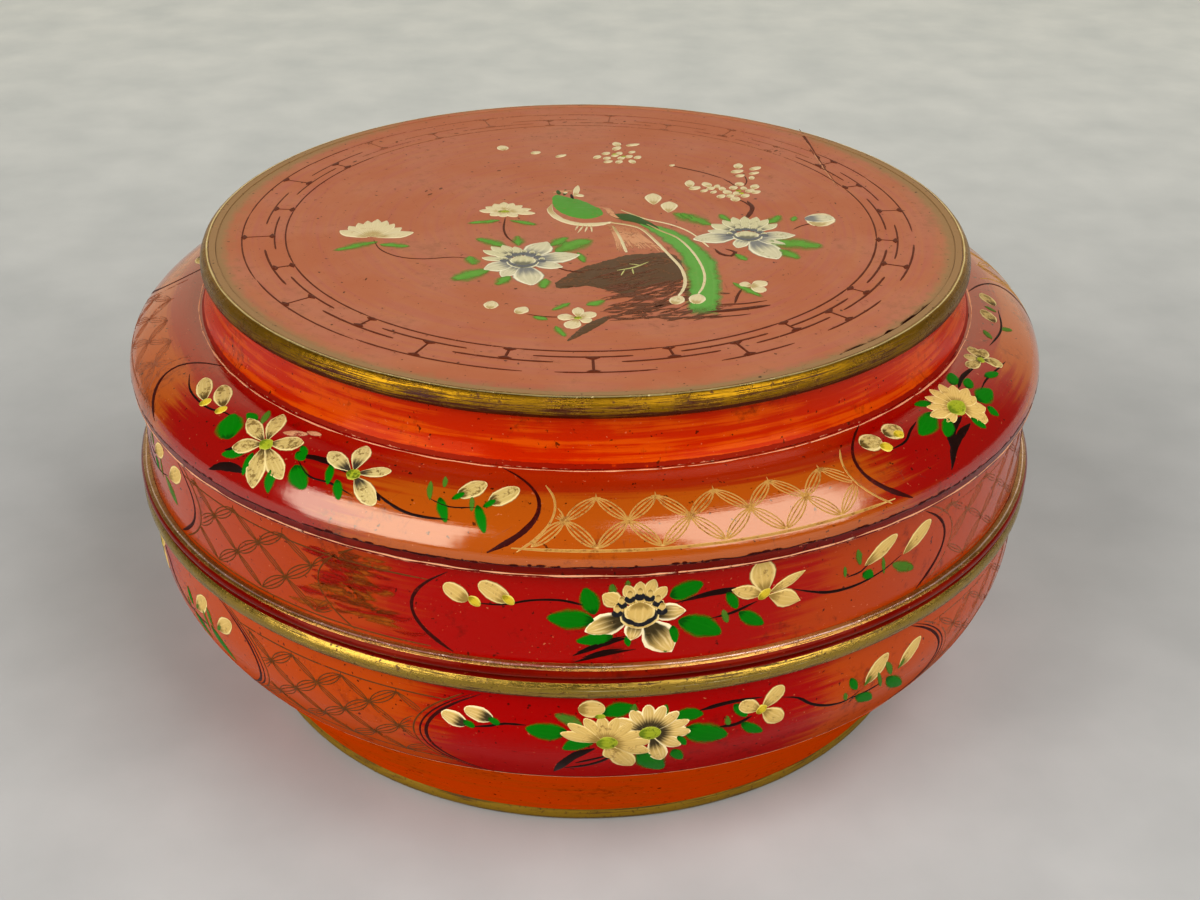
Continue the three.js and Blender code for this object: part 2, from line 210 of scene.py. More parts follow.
def body_paint(name, fill, root=None, reach=0.35, rim=None, border=None, fleck=None, flecked=0.5,
               faded=0.0, soft=0.0):
    """Opaque oil paint laid thick with a round brush: hair marks run from root to tip, the root
    is shaded darker, the outline is a paler ridge with a thin dark edge, and flecks have worn
    off. faded lets the ground show through in patches, soft thins the paint out at its edges."""
    material, tree = bare_finish(name)
    where = add(tree, "TexCoord", output="Object")
    brush = add(tree, "UVMap", uv_map="Brush")
    across = add(tree, "SeparateXYZ", [brush], "X")
    along = across.node.outputs["Y"]
    drawn_out = add(tree, "Mapping", {"Vector": brush, "Location": where, "Scale": (9, 1.3, 1)})
    hairs = add(tree, "TexNoise", {"Vector": drawn_out, "Scale": 1.0, "Detail": 3.0})
    mottle, fine = (
        add(tree, "TexNoise", {"Vector": where, "Scale": 1 / (mm * MM), "Detail": detail, "Roughness": grain})
        for mm, detail, grain in ((5, 4, 0.55), (1.3, 5, 0.7)))
    # How near a place is to the stroke's outline: 0 in its middle, 1 at its sides and its tip.
    sideways = add(tree, "Math", [across, 2.0, -1.0], operation="MULTIPLY_ADD")
    sideways = add(tree, "Math", [sideways], operation="ABSOLUTE")
    ahead = add(tree, "Math", [along, 2.0, -1.0], operation="MULTIPLY_ADD")
    ahead = add(tree, "Math", [ahead, 0.0], operation="MAXIMUM")
    ahead = add(tree, "Math", [ahead, 3.0], operation="POWER")
    outer = add(tree, "Math", [sideways, ahead], operation="MAXIMUM")
    shade = add(tree, "Math", [hairs, 0.55, along], operation="MULTIPLY_ADD")
    flecks = add(tree, "Math", [mottle, 0.6, fine], operation="MULTIPLY_ADD")
    paint = colour(fill)
    for tone, mask, low, high, first, last in (
            (rim or fill, hairs, 0.45, 0.72, 0, 0.45),
            (root, shade, 0.275 + reach * 0.4, 0.275 + reach, 0.94, 0),
            (fleck, flecks, 0.98 - 0.2 * flecked, 1.12 - 0.2 * flecked, 0, 0.8),
            (rim, outer, 0.66, 0.84, 0, 0.85), (border, outer, 0.88, 0.95, 0, 0.85)):
        if tone:
            amount = add(tree, "MapRange", [mask, low, high, first, last], **EASED)
            paint = add(tree, "Mix", {0: amount, 6: paint, 7: colour(tone)}, 2, data_type="RGBA")
    skin = add(tree, "Math", [hairs, mottle], operation="ADD")
    shader = add(tree, "BsdfPrincipled", {
        "Base Color": paint, "IOR": 1.5, "Specular IOR Level": 0.06,
        "Roughness": add(tree, "MapRange", [mottle, 0.3, 0.7, 0.35, 0.55]),
        "Normal": add(tree, "Bump", {"Strength": 0.4, "Distance": 0.15 * MM, "Height": skin})})
    cover = None
    if faded:
        worn = add(tree, "TexNoise", {"Vector": where, "Scale": 1 / (7 * MM), "Detail": 6.0,
            "Roughness": 0.7})
        worn = add(tree, "Math", [fine, 0.5, worn], operation="MULTIPLY_ADD")
        cover = add(tree, "MapRange", [worn, 0.47 + 0.22 * faded, 0.61 + 0.22 * faded], **EASED)
    if soft:
        frayed = add(tree, "Math", [mottle, soft, outer], operation="MULTIPLY_ADD")
        thinned = add(tree, "MapRange", [frayed, 1.0 - soft / 2, 1.02 + soft / 2, 1.0, 0.0], **EASED)
        cover = add(tree, "Math", [cover, thinned], operation="MULTIPLY") if cover else thinned
    if cover:
        tree.links.new(cover, shader.node.inputs["Alpha"])
    add(tree, "OutputMaterial", [shader])
    return material


def split_bamboo(name):
    """Bare split bamboo of the dowels: straight fibres with darker strands along the pin."""
    material, tree = bare_finish(name)
    where = add(tree, "TexCoord", output="Object")
    fibres = add(tree, "TexNoise", {"Vector": where, "Scale": 1 / (1.2 * MM), "Detail": 3.0})
    strands = add(tree, "MapRange", [fibres, 0.4, 0.65])
    paint = add(tree, "Mix", {0: strands, 6: colour("#C9A868"), 7: colour("#9A7436")}, 2, data_type="RGBA")
    shader = add(tree, "BsdfPrincipled", {
        "Base Color": paint, "IOR": 1.5, "Roughness": add(tree, "MapRange", [fibres, 0.3, 0.7, 0.5, 0.7])})
    add(tree, "OutputMaterial", [shader])
    return material


side_lacquer = lacquer("brushed_red_lacquer_side", "#940000", "#A23402", "#780600", panel=-88,
    glint="#FF7C61")
shoulder_lacquer = lacquer("brushed_red_lacquer_shoulder", "#880000", "#A04606", "#700200", panel=-130,
    thin_from=0.3, red_from=165.4, ior=1.8, glint="#FFF2DA")
bowl_lacquer = lacquer("brushed_red_lacquer_bowl", "#960000", "#AC3E02", "#780600", panel=-84, washed=50,
    shine=0.3, glint="#FF6048")
band_lacquer = lacquer("brushed_orange_lacquer_band", "#C63C00", "#B84002", "#B43400", gloss=0.3, shine=0.0)
neck_lacquer = lacquer("brushed_orange_lacquer", "#A81C00", "#BE4002", "#7A0800", gloss=0.14, shine=0.45,
    glint="#FF8A50")
# Dark red lacquer, also used as painted shade on the beads, at their seam and on the lid bead's underside.
dark_lacquer_and_shade = lacquer("brushed_dark_red_lacquer_and_painted_shade", "#600400", "#6E1002", "#4E0200", shine=0.3,
    glint="#FF9070")
# The top's coat colours are made paler as painted sheen, the milky reflection of the pale room, besides its
# dust.
top_lacquer_and_sheen = lacquer("dusty_red_lacquer_top_and_painted_sheen", "#A05838", "#9C503E", "#8A6A44", chip="#3A1A0C",
    dust_and_sheen="#AC7252", melt=0.8, spared=60, gloss=0.5, edge_dull=0.0, shine=0.3)
inside_lacquer = lacquer("dark_red_lacquer_inside", "#5A0E08", "#47120A", "#3A0A06", rub="#8A4A34", gloss=0.3,
    shine=0.6)
hoop_gold = gilding("worn_gilding_hoop", "#8C660C", "#3A1002", kept_from=0.42, metal=0.9, rough=0.2,
    shade_under=0.26)
bead_gold = gilding("worn_gilding_bowl_bead", "#9E8030", "#3A1A04", kept_from=0.4, metal=0.9, rough=0.16,
    bright="#FFF4C8", shade_under=0.3, clear=0.08)
lid_bead_gold = gilding("worn_gilding_lid_bead", "#A87832", "#5A1A08", kept_from=0.42, metal=0.9, rough=0.14,
    bright="#FFE6DA", clear=0.35)
foot_gold = gilding("worn_gilding_foot", "#7E6210", "#4A3008", kept_from=0.44, metal=0.35, rough=0.45,
    bright="#A88C30")
bare_bamboo = split_bamboo("split_bamboo_pins")

# Each part of the box has its own age of paint: greyer on the top, speckled on the shoulder,
# clean and warm on the walls.
top_cream = body_paint("cream_paint_top", "#C8BA90", root="#A8925E", reach=0.4, rim="#DACEA8",
    border="#8A5A3C", fleck="#A8845A", flecked=0.4)
top_shaded = body_paint("cream_paint_top_dark_root", "#BEB896", root="#6A6C6C", reach=0.62, rim="#DCD6B8",
    border="#76705E", fleck="#8E8766", flecked=0.5)
top_small = body_paint("cream_paint_top_small", "#BDB78E", root="#5E5E50", reach=0.5, rim="#D6D0AC",
    border="#66604C", fleck="#8E8766", flecked=0.4)
old_cream = body_paint("cream_paint_speckled", "#B49C5C", root="#3A2A0E", reach=0.34, rim="#DCC88C",
    border="#6A4A1C", fleck="#5E4416", flecked=0.95)
old_shaded = body_paint("cream_paint_speckled_dark_root", "#B8A468", root="#0E0C14", reach=0.5, rim="#DDCB92",
    border="#5A4018", fleck="#5E4416", flecked=0.8)
side_cream = body_paint("cream_paint_side", "#C8A65C", root="#8A6E32", reach=0.4, rim="#E8CE8A",
    border="#6E3416", fleck="#8A6A38", flecked=0.55)
side_shaded = body_paint("cream_paint_side_dark_root", "#CCAA60", root="#040408", reach=0.58, rim="#F4E0AC",
    fleck="#8E7040", flecked=0.4)
side_peony = body_paint("cream_paint_side_peony", "#CCAA60", root="#020204", reach=0.85, rim="#F8E8BC",
    fleck="#8E7040", flecked=0.4)
leaf_green = body_paint("leaf_green_paint", "#006600", root="#004200", reach=0.22, rim="#0A7406",
    border="#2A5A06", soft=0.45)
blurred_green = body_paint("blurred_green_paint", "#569030", root="#56882E", reach=0.3, rim="#62993C",
    fleck="#7E7A3E", flecked=0.3, soft=1.0)
faded_green = body_paint("faded_green_paint", "#3E6A18", root="#4A6A1E", reach=0.4, rim="#567A26",
    fleck="#7A4A1E", soft=0.6, faded=0.25)
heart_yellow = body_paint("yellow_green_paint", "#8E9A1E", root="#5A6E12", reach=0.4, rim="#A8AC3A",
    fleck="#3E4E0C", flecked=0.8)
moss_yellow = body_paint("moss_yellow_paint", "#A8A866", rim="#B8B878", faded=0.1)
bud_yellow = body_paint("yellow_paint", "#C2A824", root="#8A7A14", reach=0.4, rim="#D6C65A", fleck="#6E6210")
shadow_paint = body_paint("blue_black_paint", "#1A1A1E", rim="#26262A", fleck="#3A3430", soft=0.25)
grey_shadow = body_paint("grey_blue_paint", "#5A5C5E", rim="#6A6A66", fleck="#7A6E5C", soft=0.3)
stem_dark = body_paint("dark_brown_paint", "#160402", rim="#1E0603", fleck="#2E0A04", soft=0.1)
bark_brown = body_paint("brown_bark_paint", "#4A1E10", rim="#5A2816", fleck="#6E3822", soft=0.2, faded=0.1)
rock_brown = body_paint("rock_brown_paint", "#523C28", rim="#463222", fleck="#70482E", flecked=0.7, soft=0.12)
rock_dry = body_paint("dry_brush_paint", "#5C3624", rim="#6A402C", fleck="#80492F", flecked=0.6, soft=0.7,
    faded=0.5)
worn_umber = body_paint("dirt_in_worn_lacquer", "#762604", rim="#7C2E06", fleck="#4E2E0A", flecked=0.9,
    soft=1.2, faded=0.6)
worn_amber = body_paint("lacquer_worn_to_amber", "#8E420A", rim="#94480A", fleck="#6A3206", flecked=0.7,
    soft=1.2, faded=0.5)
left_red = body_paint("red_left_in_worn_lacquer", "#8E0C02", rim="#8E1404", fleck="#6A1204", flecked=0.5,
    soft=1.2, faded=0.4)
line_brown = body_paint("thin_brown_paint", "#521E0C", rim="#5C2610", fleck="#7A3C22", flecked=0.4,
    faded=0.12)
# Faint pale line paint: worn thin, and paler as painted sheen where a lattice lies under the pale reflection
# at a low angle.
line_worn_faint_and_sheen = body_paint("faded_brown_line_paint_and_painted_sheen", "#844A30", rim="#8A5038", faded=0.75)
line_umber = body_paint("umber_line_paint", "#5A2E0A", rim="#643A10", fleck="#7A3E12", faded=0.3)
line_gold = body_paint("gold_line_paint", "#A87A38", rim="#C49A58", fleck="#7A4A1A", flecked=0.9, faded=0.2)
panel_line = body_paint("dark_red_line_paint", "#300402", rim="#3E0804", fleck="#5E1206", faded=0.05)
# Dark paint for chips, also used as painted shadow under overhangs.
chip_and_shade_dark = body_paint("bare_dark_chips_and_painted_shade", "#300402", rim="#3E0604", fleck="#5E0E06", faded=0.35, soft=0.4)
# Pale paint for rubbed edges, also used as painted highlight on lit arrises.
rub_pale_and_highlight = body_paint("rubbed_pale_edges_and_painted_highlight", "#E09A70", rim="#F4C8A4", fleck="#B8542E", faded=0.2, soft=0.4)
bird_green = body_paint("bird_green_paint", "#4A8A30", root="#48803A", reach=0.2, rim="#50903A",
    fleck="#78743C", flecked=0.4, soft=0.25)
bird_tail = body_paint("bird_tail_paint", "#56933A", rim="#6C9C4E", fleck="#7C7E44", flecked=0.4, soft=0.5)
wing_dark = body_paint("dark_green_paint", "#2A4A1C", rim="#3A5A28", fleck="#5A4A26", soft=0.3)
blush = body_paint("blush_cream_paint", "#BE8862", root="#B07450", reach=0.4, rim="#D0A078", fleck="#9A5A3C",
    flecked=0.6, soft=0.5, faded=0.35)


# ---------------------------------------------------------------- turned skins

# A skin's faces are 3.5 mm long at most, and finer near a mark, which fades over 0.7 mm.
LONGEST, NEAR_MARK, MARK_FADES = 3.5, (0.5, 1.2, 2.2), 0.7
CREASE = radians(40)


def curve(points, steps):
    """Points along a Bezier curve of radius and height."""
    order = len(points) - 1
    weigh = lambda i, t: comb(order, i) * (1 - t) ** (order - i) * t ** i
    return [tuple(sum(weigh(i, s / steps) * p[axis] for i, p in enumerate(points)) for axis in (0, 1))
            for s in range(steps + 1)]


def inwards(line, distance):
    """A line of the outside moved square to itself into the wall. The line runs downwards."""
    moved = []
    for index, (radius, height) in enumerate(line):
        (r0, z0), (r1, z1) = line[max(index - 1, 0)], line[min(index + 1, len(line) - 1)]
        length = hypot(r1 - r0, z1 - z0)
        moved.append((radius + distance * (z1 - z0) / length, height - distance * (r1 - r0) / length))
    return moved


def rounded(before, corner, after):
    """The points of one corner (radius, height, mark, size), rounded where it has a size."""
    radius, height, mark, size = corner
    if not size:
        return [(radius, height, mark)]
    ends = []
    for other in (before, after):
        length = hypot(other[0] - radius, other[1] - height)
        reach = min(size, 0.45 * length) / length
        ends.append((radius + (other[0] - radius) * reach, height + (other[1] - height) * reach))
    places = curve([ends[0], (radius, height), ends[1]], 4)
    return [(*place, mark if step == 2 else 0.0) for step, place in enumerate(places)]


def placed(name, verts, faces, finishes=(), finish_of=()):
    """A new object in the scene, made of points, faces and finishes."""
    mesh = bpy.data.meshes.new(name)
    mesh.from_pydata(verts, [], faces)
    for finish in finishes:
        mesh.materials.append(finish)
    if finish_of:
        mesh.polygons.foreach_set("material_index", finish_of)
    piece = bpy.data.objects.new(name, mesh)
    bpy.context.scene.collection.objects.link(piece)
    return piece


def turned(name, body, runs, finishes, nodes, turns=288, shake=0.0):
    """A ring of wood turned round the box's axis. Each run is (finish, tint, points) and goes on
    from the one before, anticlockwise seen with the axis on the left. A point is (radius, height)
    and then, where it has them, its mark, 1 for a rubbed arris and -1 for a chipped one, and the
    size of its rounding. Marks spread a millimetre or two along the outline. shake is how far
    the hand work strays from a true circle, in millimetres."""
    corners = [((*p, 0.0, 0.0)[:4], finish, tint) for finish, tint, points in runs for p in points]
    closed = corners[0][0][0] > 0.01
    line = []
    for index, (corner, finish, tint) in enumerate(corners):
        points = rounded(corners[index - 1][0], corner, corners[(index + 1) % len(corners)][0])
        line += [(*p, finish, tint) for p in points]
    fine = []
    for index in range(len(line) if closed else len(line) - 1):
        (r0, z0, mark, finish, tint), (r1, z1, next_mark, _, _) = line[index], line[(index + 1) % len(line)]
        length = hypot(r1 - r0, z1 - z0)
        parts = ceil(length / LONGEST)
        cuts = {0.0} | {part / parts for part in range(1, parts)}
        for marked, side in ((mark, 0), (next_mark, 1)):
            if marked:
                cuts |= {abs(side - d / length) for d in NEAR_MARK if d < length * 0.9}
        fine += [(r0 + (r1 - r0) * cut, z0 + (z1 - z0) * cut, 0.0 if cut else mark, finish, tint)
                 for cut in sorted(cuts)]
    if not closed:
        fine.append(line[-1])
    runs_at, total = [], 0.0
    for point, after in zip(fine, fine[1:] + fine[:1]):
        runs_at.append(total)
        total += hypot(after[0] - point[0], after[1] - point[1])
    marks = [(at, point[2]) for at, point in zip(runs_at, fine) if point[2]]
    verts, rings, values = [], [], {"run": [], "wear": [], "tint": []}
    for at, (radius, height, _, _, tint) in zip(runs_at, fine):
        wear = sum(mark * exp(-min(abs(at - there), total - abs(at - there)) / MARK_FADES)
                   for there, mark in marks)
        steps = range(turns if radius > 0.01 else 1)
        rings.append([len(verts) + step for step in steps])
        for step in steps:
            angle = 2 * pi * step / turns
            x, y = radius * cos(angle), radius * sin(angle)
            dent = shake * (0.5 + 0.5 * noise.noise(Vector((x, y, height * 2)) / 17)) if shake else 0.0
            verts.append(((x - dent * cos(angle)) * MM, (y - dent * sin(angle)) * MM, height * MM))
        for key, value in (("run", at), ("wear", max(-1.0, min(1.0, wear))), ("tint", tint)):
            values[key] += [value] * len(steps)
    faces, finish_of = [], []
    for index in range(len(fine) if closed else len(fine) - 1):
        low, high = rings[index], rings[(index + 1) % len(rings)]
        for step in range(turns):
            after = (step + 1) % turns
            places = ((low, step), (low, after), (high, after), (high, step))
            faces.append(list(dict.fromkeys(ring[at % len(ring)] for ring, at in places)))
            finish_of.append(fine[index][3])
    piece = placed(name, verts, faces, finishes, finish_of)
    for key, numbers in values.items():
        piece.data.attributes.new(key, "FLOAT", "POINT").data.foreach_set("value", numbers)
    piece.data.shade_smooth()
    piece.data.set_sharp_from_angle(angle=CREASE)
    piece.data.update()
    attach(piece, body)
    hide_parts(*nodes)
    return piece


def numbered(prefix, count):
    """The names of pieces that are numbered from 1."""
    return [f"{prefix}_{index}" for index in range(1, count + 1)]


TOP_FACE = 193.25
BELLY = [(188, 76), (187, 50), (168, 40), (149.5, 6.3)]
CROWN = [(160, 168), (172, 168), (190, 160), (190, 149)]
bowl_outside = [(188, 101.7)] + curve(BELLY, 44)
shoulder_outside = [(158, 168)] + curve(CROWN, 30)
side_outside = [(186.5, 143.7), (187.5, 102)]
UNDER_PANEL = 49.0
upper_wall = [p for p in bowl_outside if p[1] > UNDER_PANEL]
lower_wall = [p for p in bowl_outside if p[1] <= UNDER_PANEL]

foot_round = [(147 + 2.5 * sin(pi * s / 12), 3 - 3 * cos(pi * s / 12)) for s in range(13)]
turned("gilt_foot", "base", [
    (0, 0.0, [(136.5, 0)] + foot_round[:6] + [(*foot_round[6], 0.5)] + foot_round[7:] + [(136.5, 6)]),
], [foot_gold], ["foot_ring"], shake=0.25)

bowl_inside = [p for p in inwards(curve(BELLY, 44), 8) if p[1] > 15.0]
turned("bowl_wall", "base", [
    (1, 0.0, [(145, 6.3)]),
    (2, 0.0, [(149.5, 6.3)] + lower_wall[::-1][1:]),
    (0, 0.0, upper_wall[::-1][:-1] + [(188, 101.7, 0.5, 0.6)]),
    (1, 0.0, [(180, 101.7, 0.6, 0.8)] + bowl_inside + [(145, 14.6)]),
], [bowl_lacquer, inside_lacquer, band_lacquer], numbered("bowl_stave", 12))

turned("fitted_lip", "base", [
    (0, 0.0, [(175.2, 83.7), (179.7, 83.7), (179.7, 110.5, 0.6, 0.8)]),
    (0, 0.0, [(178.5, 111.7, 0.8, 0.8), (175.2, 111.7, 0.8, 0.8)]),
], [inside_lacquer], ["locating_lip"])


def half_round(inner, proud, bottom, height, steps=14):
    """Points up a bead's outside, from one edge of its half circle to the other."""
    angles = [pi * (s / steps - 0.5) for s in range(steps + 1)]
    return [(inner + proud * max(0.0, cos(a)), bottom + height / 2 * (1 + sin(a))) for a in angles]


bowl_bead = half_round(188.05, 3.4, 93.5, 8.2)
turned("gilt_bowl_bead", "base", [
    # Tint on the bead's lower half darkens the leaf there as painted shade.
    (0, 0.5, bowl_bead[:5]),
    (0, 0.0, bowl_bead[5:8] + [(*bowl_bead[8], 0.6)] + bowl_bead[9:11]),
    # Painted shade: dark lacquer on the bead's top stands for the shade in the seam under the lid bead.
    (1, 0.0, bowl_bead[11:]),
], [bead_gold, dark_lacquer_and_shade], ["base_bead"], shake=0.12)

lid_bead = half_round(187.55, 3.9, 102.0, 5.5)
turned("lid_bead", "lid", [
    # The lid bead's lower, downward-facing part is dark lacquer: partly its own dark red, partly painted
    # shade.
    (1, 0.0, lid_bead[:10]),
    (0, 0.0, lid_bead[10:12] + [(*lid_bead[12], 0.9)] + lid_bead[13:]),
], [lid_bead_gold, dark_lacquer_and_shade], ["lid_bead"], shake=0.12)

turned("lid_side", "lid", [
    (1, 0.0, [(180.5, 143.7), (180.5, 102, 0.5, 0.6)]),
    (0, 0.0, [(187.5, 102), (187.4, 106), (186.55, 141.5), (186.5, 143.7)]),
], [side_lacquer, inside_lacquer], numbered("lid_side_strip", 4))

shoulder_inside = [p for p in inwards(curve(CROWN, 30), 9) if p[0] > 146.4]
# The mark at the foot of the upright edge rubs that arris pale: partly wear, partly painted highlight.
turned("lid_shoulder", "lid", [
    (1, 0.0, [(180.5, 144)]),
    (2, 0.0, [(189.6, 144, 1.0, 0.5), (189.6, 147.8)]),
    (0, 0.0, [(190, 148.6, -1.0, 0.2)] + shoulder_outside[::-1][1:]),
    (1, 0.0, [(146, 168), (146, 159)] + shoulder_inside),
], [shoulder_lacquer, inside_lacquer, dark_lacquer_and_shade], numbered("shoulder_segment", 10))

neck_flare = curve([(159.5, 168.05), (155, 173.3), (155, 185.5)], 16)
# The mark on the neck's foot rubs its arris pale: partly wear, partly painted highlight.
turned("lid_neck", "lid", [
    (0, 0.6, [(159.5, 168.05, 0.8, 0.4)] + neck_flare[1:3]),
    (0, 0.0, neck_flare[3:]),
    (1, 0.0, [(146, 185.5), (146, 168.05)]),
], [neck_lacquer, inside_lacquer], ["neck_band"], shake=0.15)

hoop_under = curve([(154.1, 185.6), (157.2, 185.6), (157.9, 187.6)], 6)
hoop_side = curve([(157.9, 187.6), (158.4, 190.6), (156.6, 193.1), (155.3, 193.45)], 8)
turned("gilt_top_hoop", "lid", [
    # Tint on the hoop's underside and low side darkens the leaf there as painted shade.
    (0, 0.8, [(151.3, 185.6)] + hoop_under),
    (0, 0.2, hoop_side[1:4]),
    (0, 0.0, hoop_side[4:-1] + [(154.9, 193.6, 1.0, 0.5)]),
    (1, 1.0, [(154.0, 193.6), (151.35, 193.6, 0.0, 0.2)]),
], [hoop_gold, top_lacquer_and_sheen], ["top_rim_hoop"], shake=0.3)

lid_top = turned("lid_top", "lid", [
    (1, 0.0, [(0, 185.6), (151.2, 185.6)]),
    (0, 0.9, [(151.2, TOP_FACE, -0.2, 0.2), (150.2, TOP_FACE)]),
    (0, 0.64, [(148.6, TOP_FACE)]),
    (0, 0.34, [(145.5, TOP_FACE)]),
    (0, 0.15, [(141, TOP_FACE)]),
    (0, 0.0, [(134, TOP_FACE), (60, TOP_FACE), (0, TOP_FACE)]),
], [top_lacquer_and_sheen, inside_lacquer], numbered("top_board", 4))


# The hoop has come away from the boards along a short arc: the boards' edge draws in there.
# The tan rim beside the hoop is narrower in front.
OPEN_AT, OPEN_HALF = -41.5, 12.5
rim_tint = lid_top.data.attributes["tint"].data
for vertex in lid_top.data.vertices:
    radius, turn = vertex.co.xy.length, degrees(atan2(vertex.co.y, vertex.co.x))
    rim_tint[vertex.index].value *= 1 - 0.5 * max(0.0, -sin(radians(turn)))
    open_arc = max(0.0, 1 - ((turn - OPEN_AT) / OPEN_HALF) ** 2)
    if radius > 150.5 * MM and open_arc:
        bite = 0.9 + 1.0 * noise.noise(vertex.co * 180)
        vertex.co.xy *= 1 - bite * min(1.0, 2 * open_arc) * MM / radius

# One glued joint between two boards has opened from the hoop to about a third of the way across.
joint = [(100.6, 121.0, 0.2), (102.9, 104.0, 0.2), (105.2, 84.0, 0.18), (107.4, 66.0, 0.16),
    (110.5, 44.0, 0.08)]
verts, faces = [], []
for x, y, half in joint:
    corners = ((x - half, 192.6), (x + half, 192.6), (x + half, 194), (x - half, 194))
    verts += [(across * MM, y * MM, height * MM) for across, height in corners]
for index in range(len(joint) - 1):
    at = 4 * index
    faces += [[at + a, at + b, at + 4 + b, at + 4 + a] for a, b in ((0, 1), (1, 2), (2, 3), (3, 0))]
faces += [[3, 2, 1, 0], [len(verts) - 4, len(verts) - 3, len(verts) - 2, len(verts) - 1]]
gap = placed("joint_gap", verts, faces)
opened = lid_top.modifiers.new("opened_joint", "BOOLEAN")
opened.operation, opened.solver, opened.object = "DIFFERENCE", "EXACT", gap
with bpy.context.temp_override(object=lid_top, active_object=lid_top, selected_objects=[lid_top]):
    bpy.ops.object.modifier_apply(modifier=opened.name)
bpy.data.objects.remove(gap)


# ---------------------------------------------------------------- painting

# A stroke's edge dips a little into its ground. Strokes are stacked up to 0.05 mm, and then anew.
EDGE, STACKED = -0.02, 0.05
# A drawn line has a point every 2.2 mm, a filled patch's outline one every 1.2 mm.
LINE_PACE, PATCH_PACE = 2.2, 1.2
# Across a stroke: the places from one side to the other, and how high the paint stands there.
DAB_SECTION = ((1, 0), (0.86, 0.7), (0.4, 1.0), (0.0, 0.92), (-0.4, 1.0), (-0.86, 0.7), (-1, 0))
LINE_SECTION = ((1, 0), (0.6, 0.9), (-0.6, 0.9), (-1, 0))


def passing(a, b, c, d, t):
    """The place at share t of the way from b to c, on a smooth line through all four points."""
    return [0.5 * (2 * b[k] + (c[k] - a[k]) * t + (2 * a[k] - 5 * b[k] + 4 * c[k] - d[k]) * t * t
                   + (3 * b[k] - a[k] - 3 * c[k] + d[k]) * t ** 3) for k in (0, 1)]


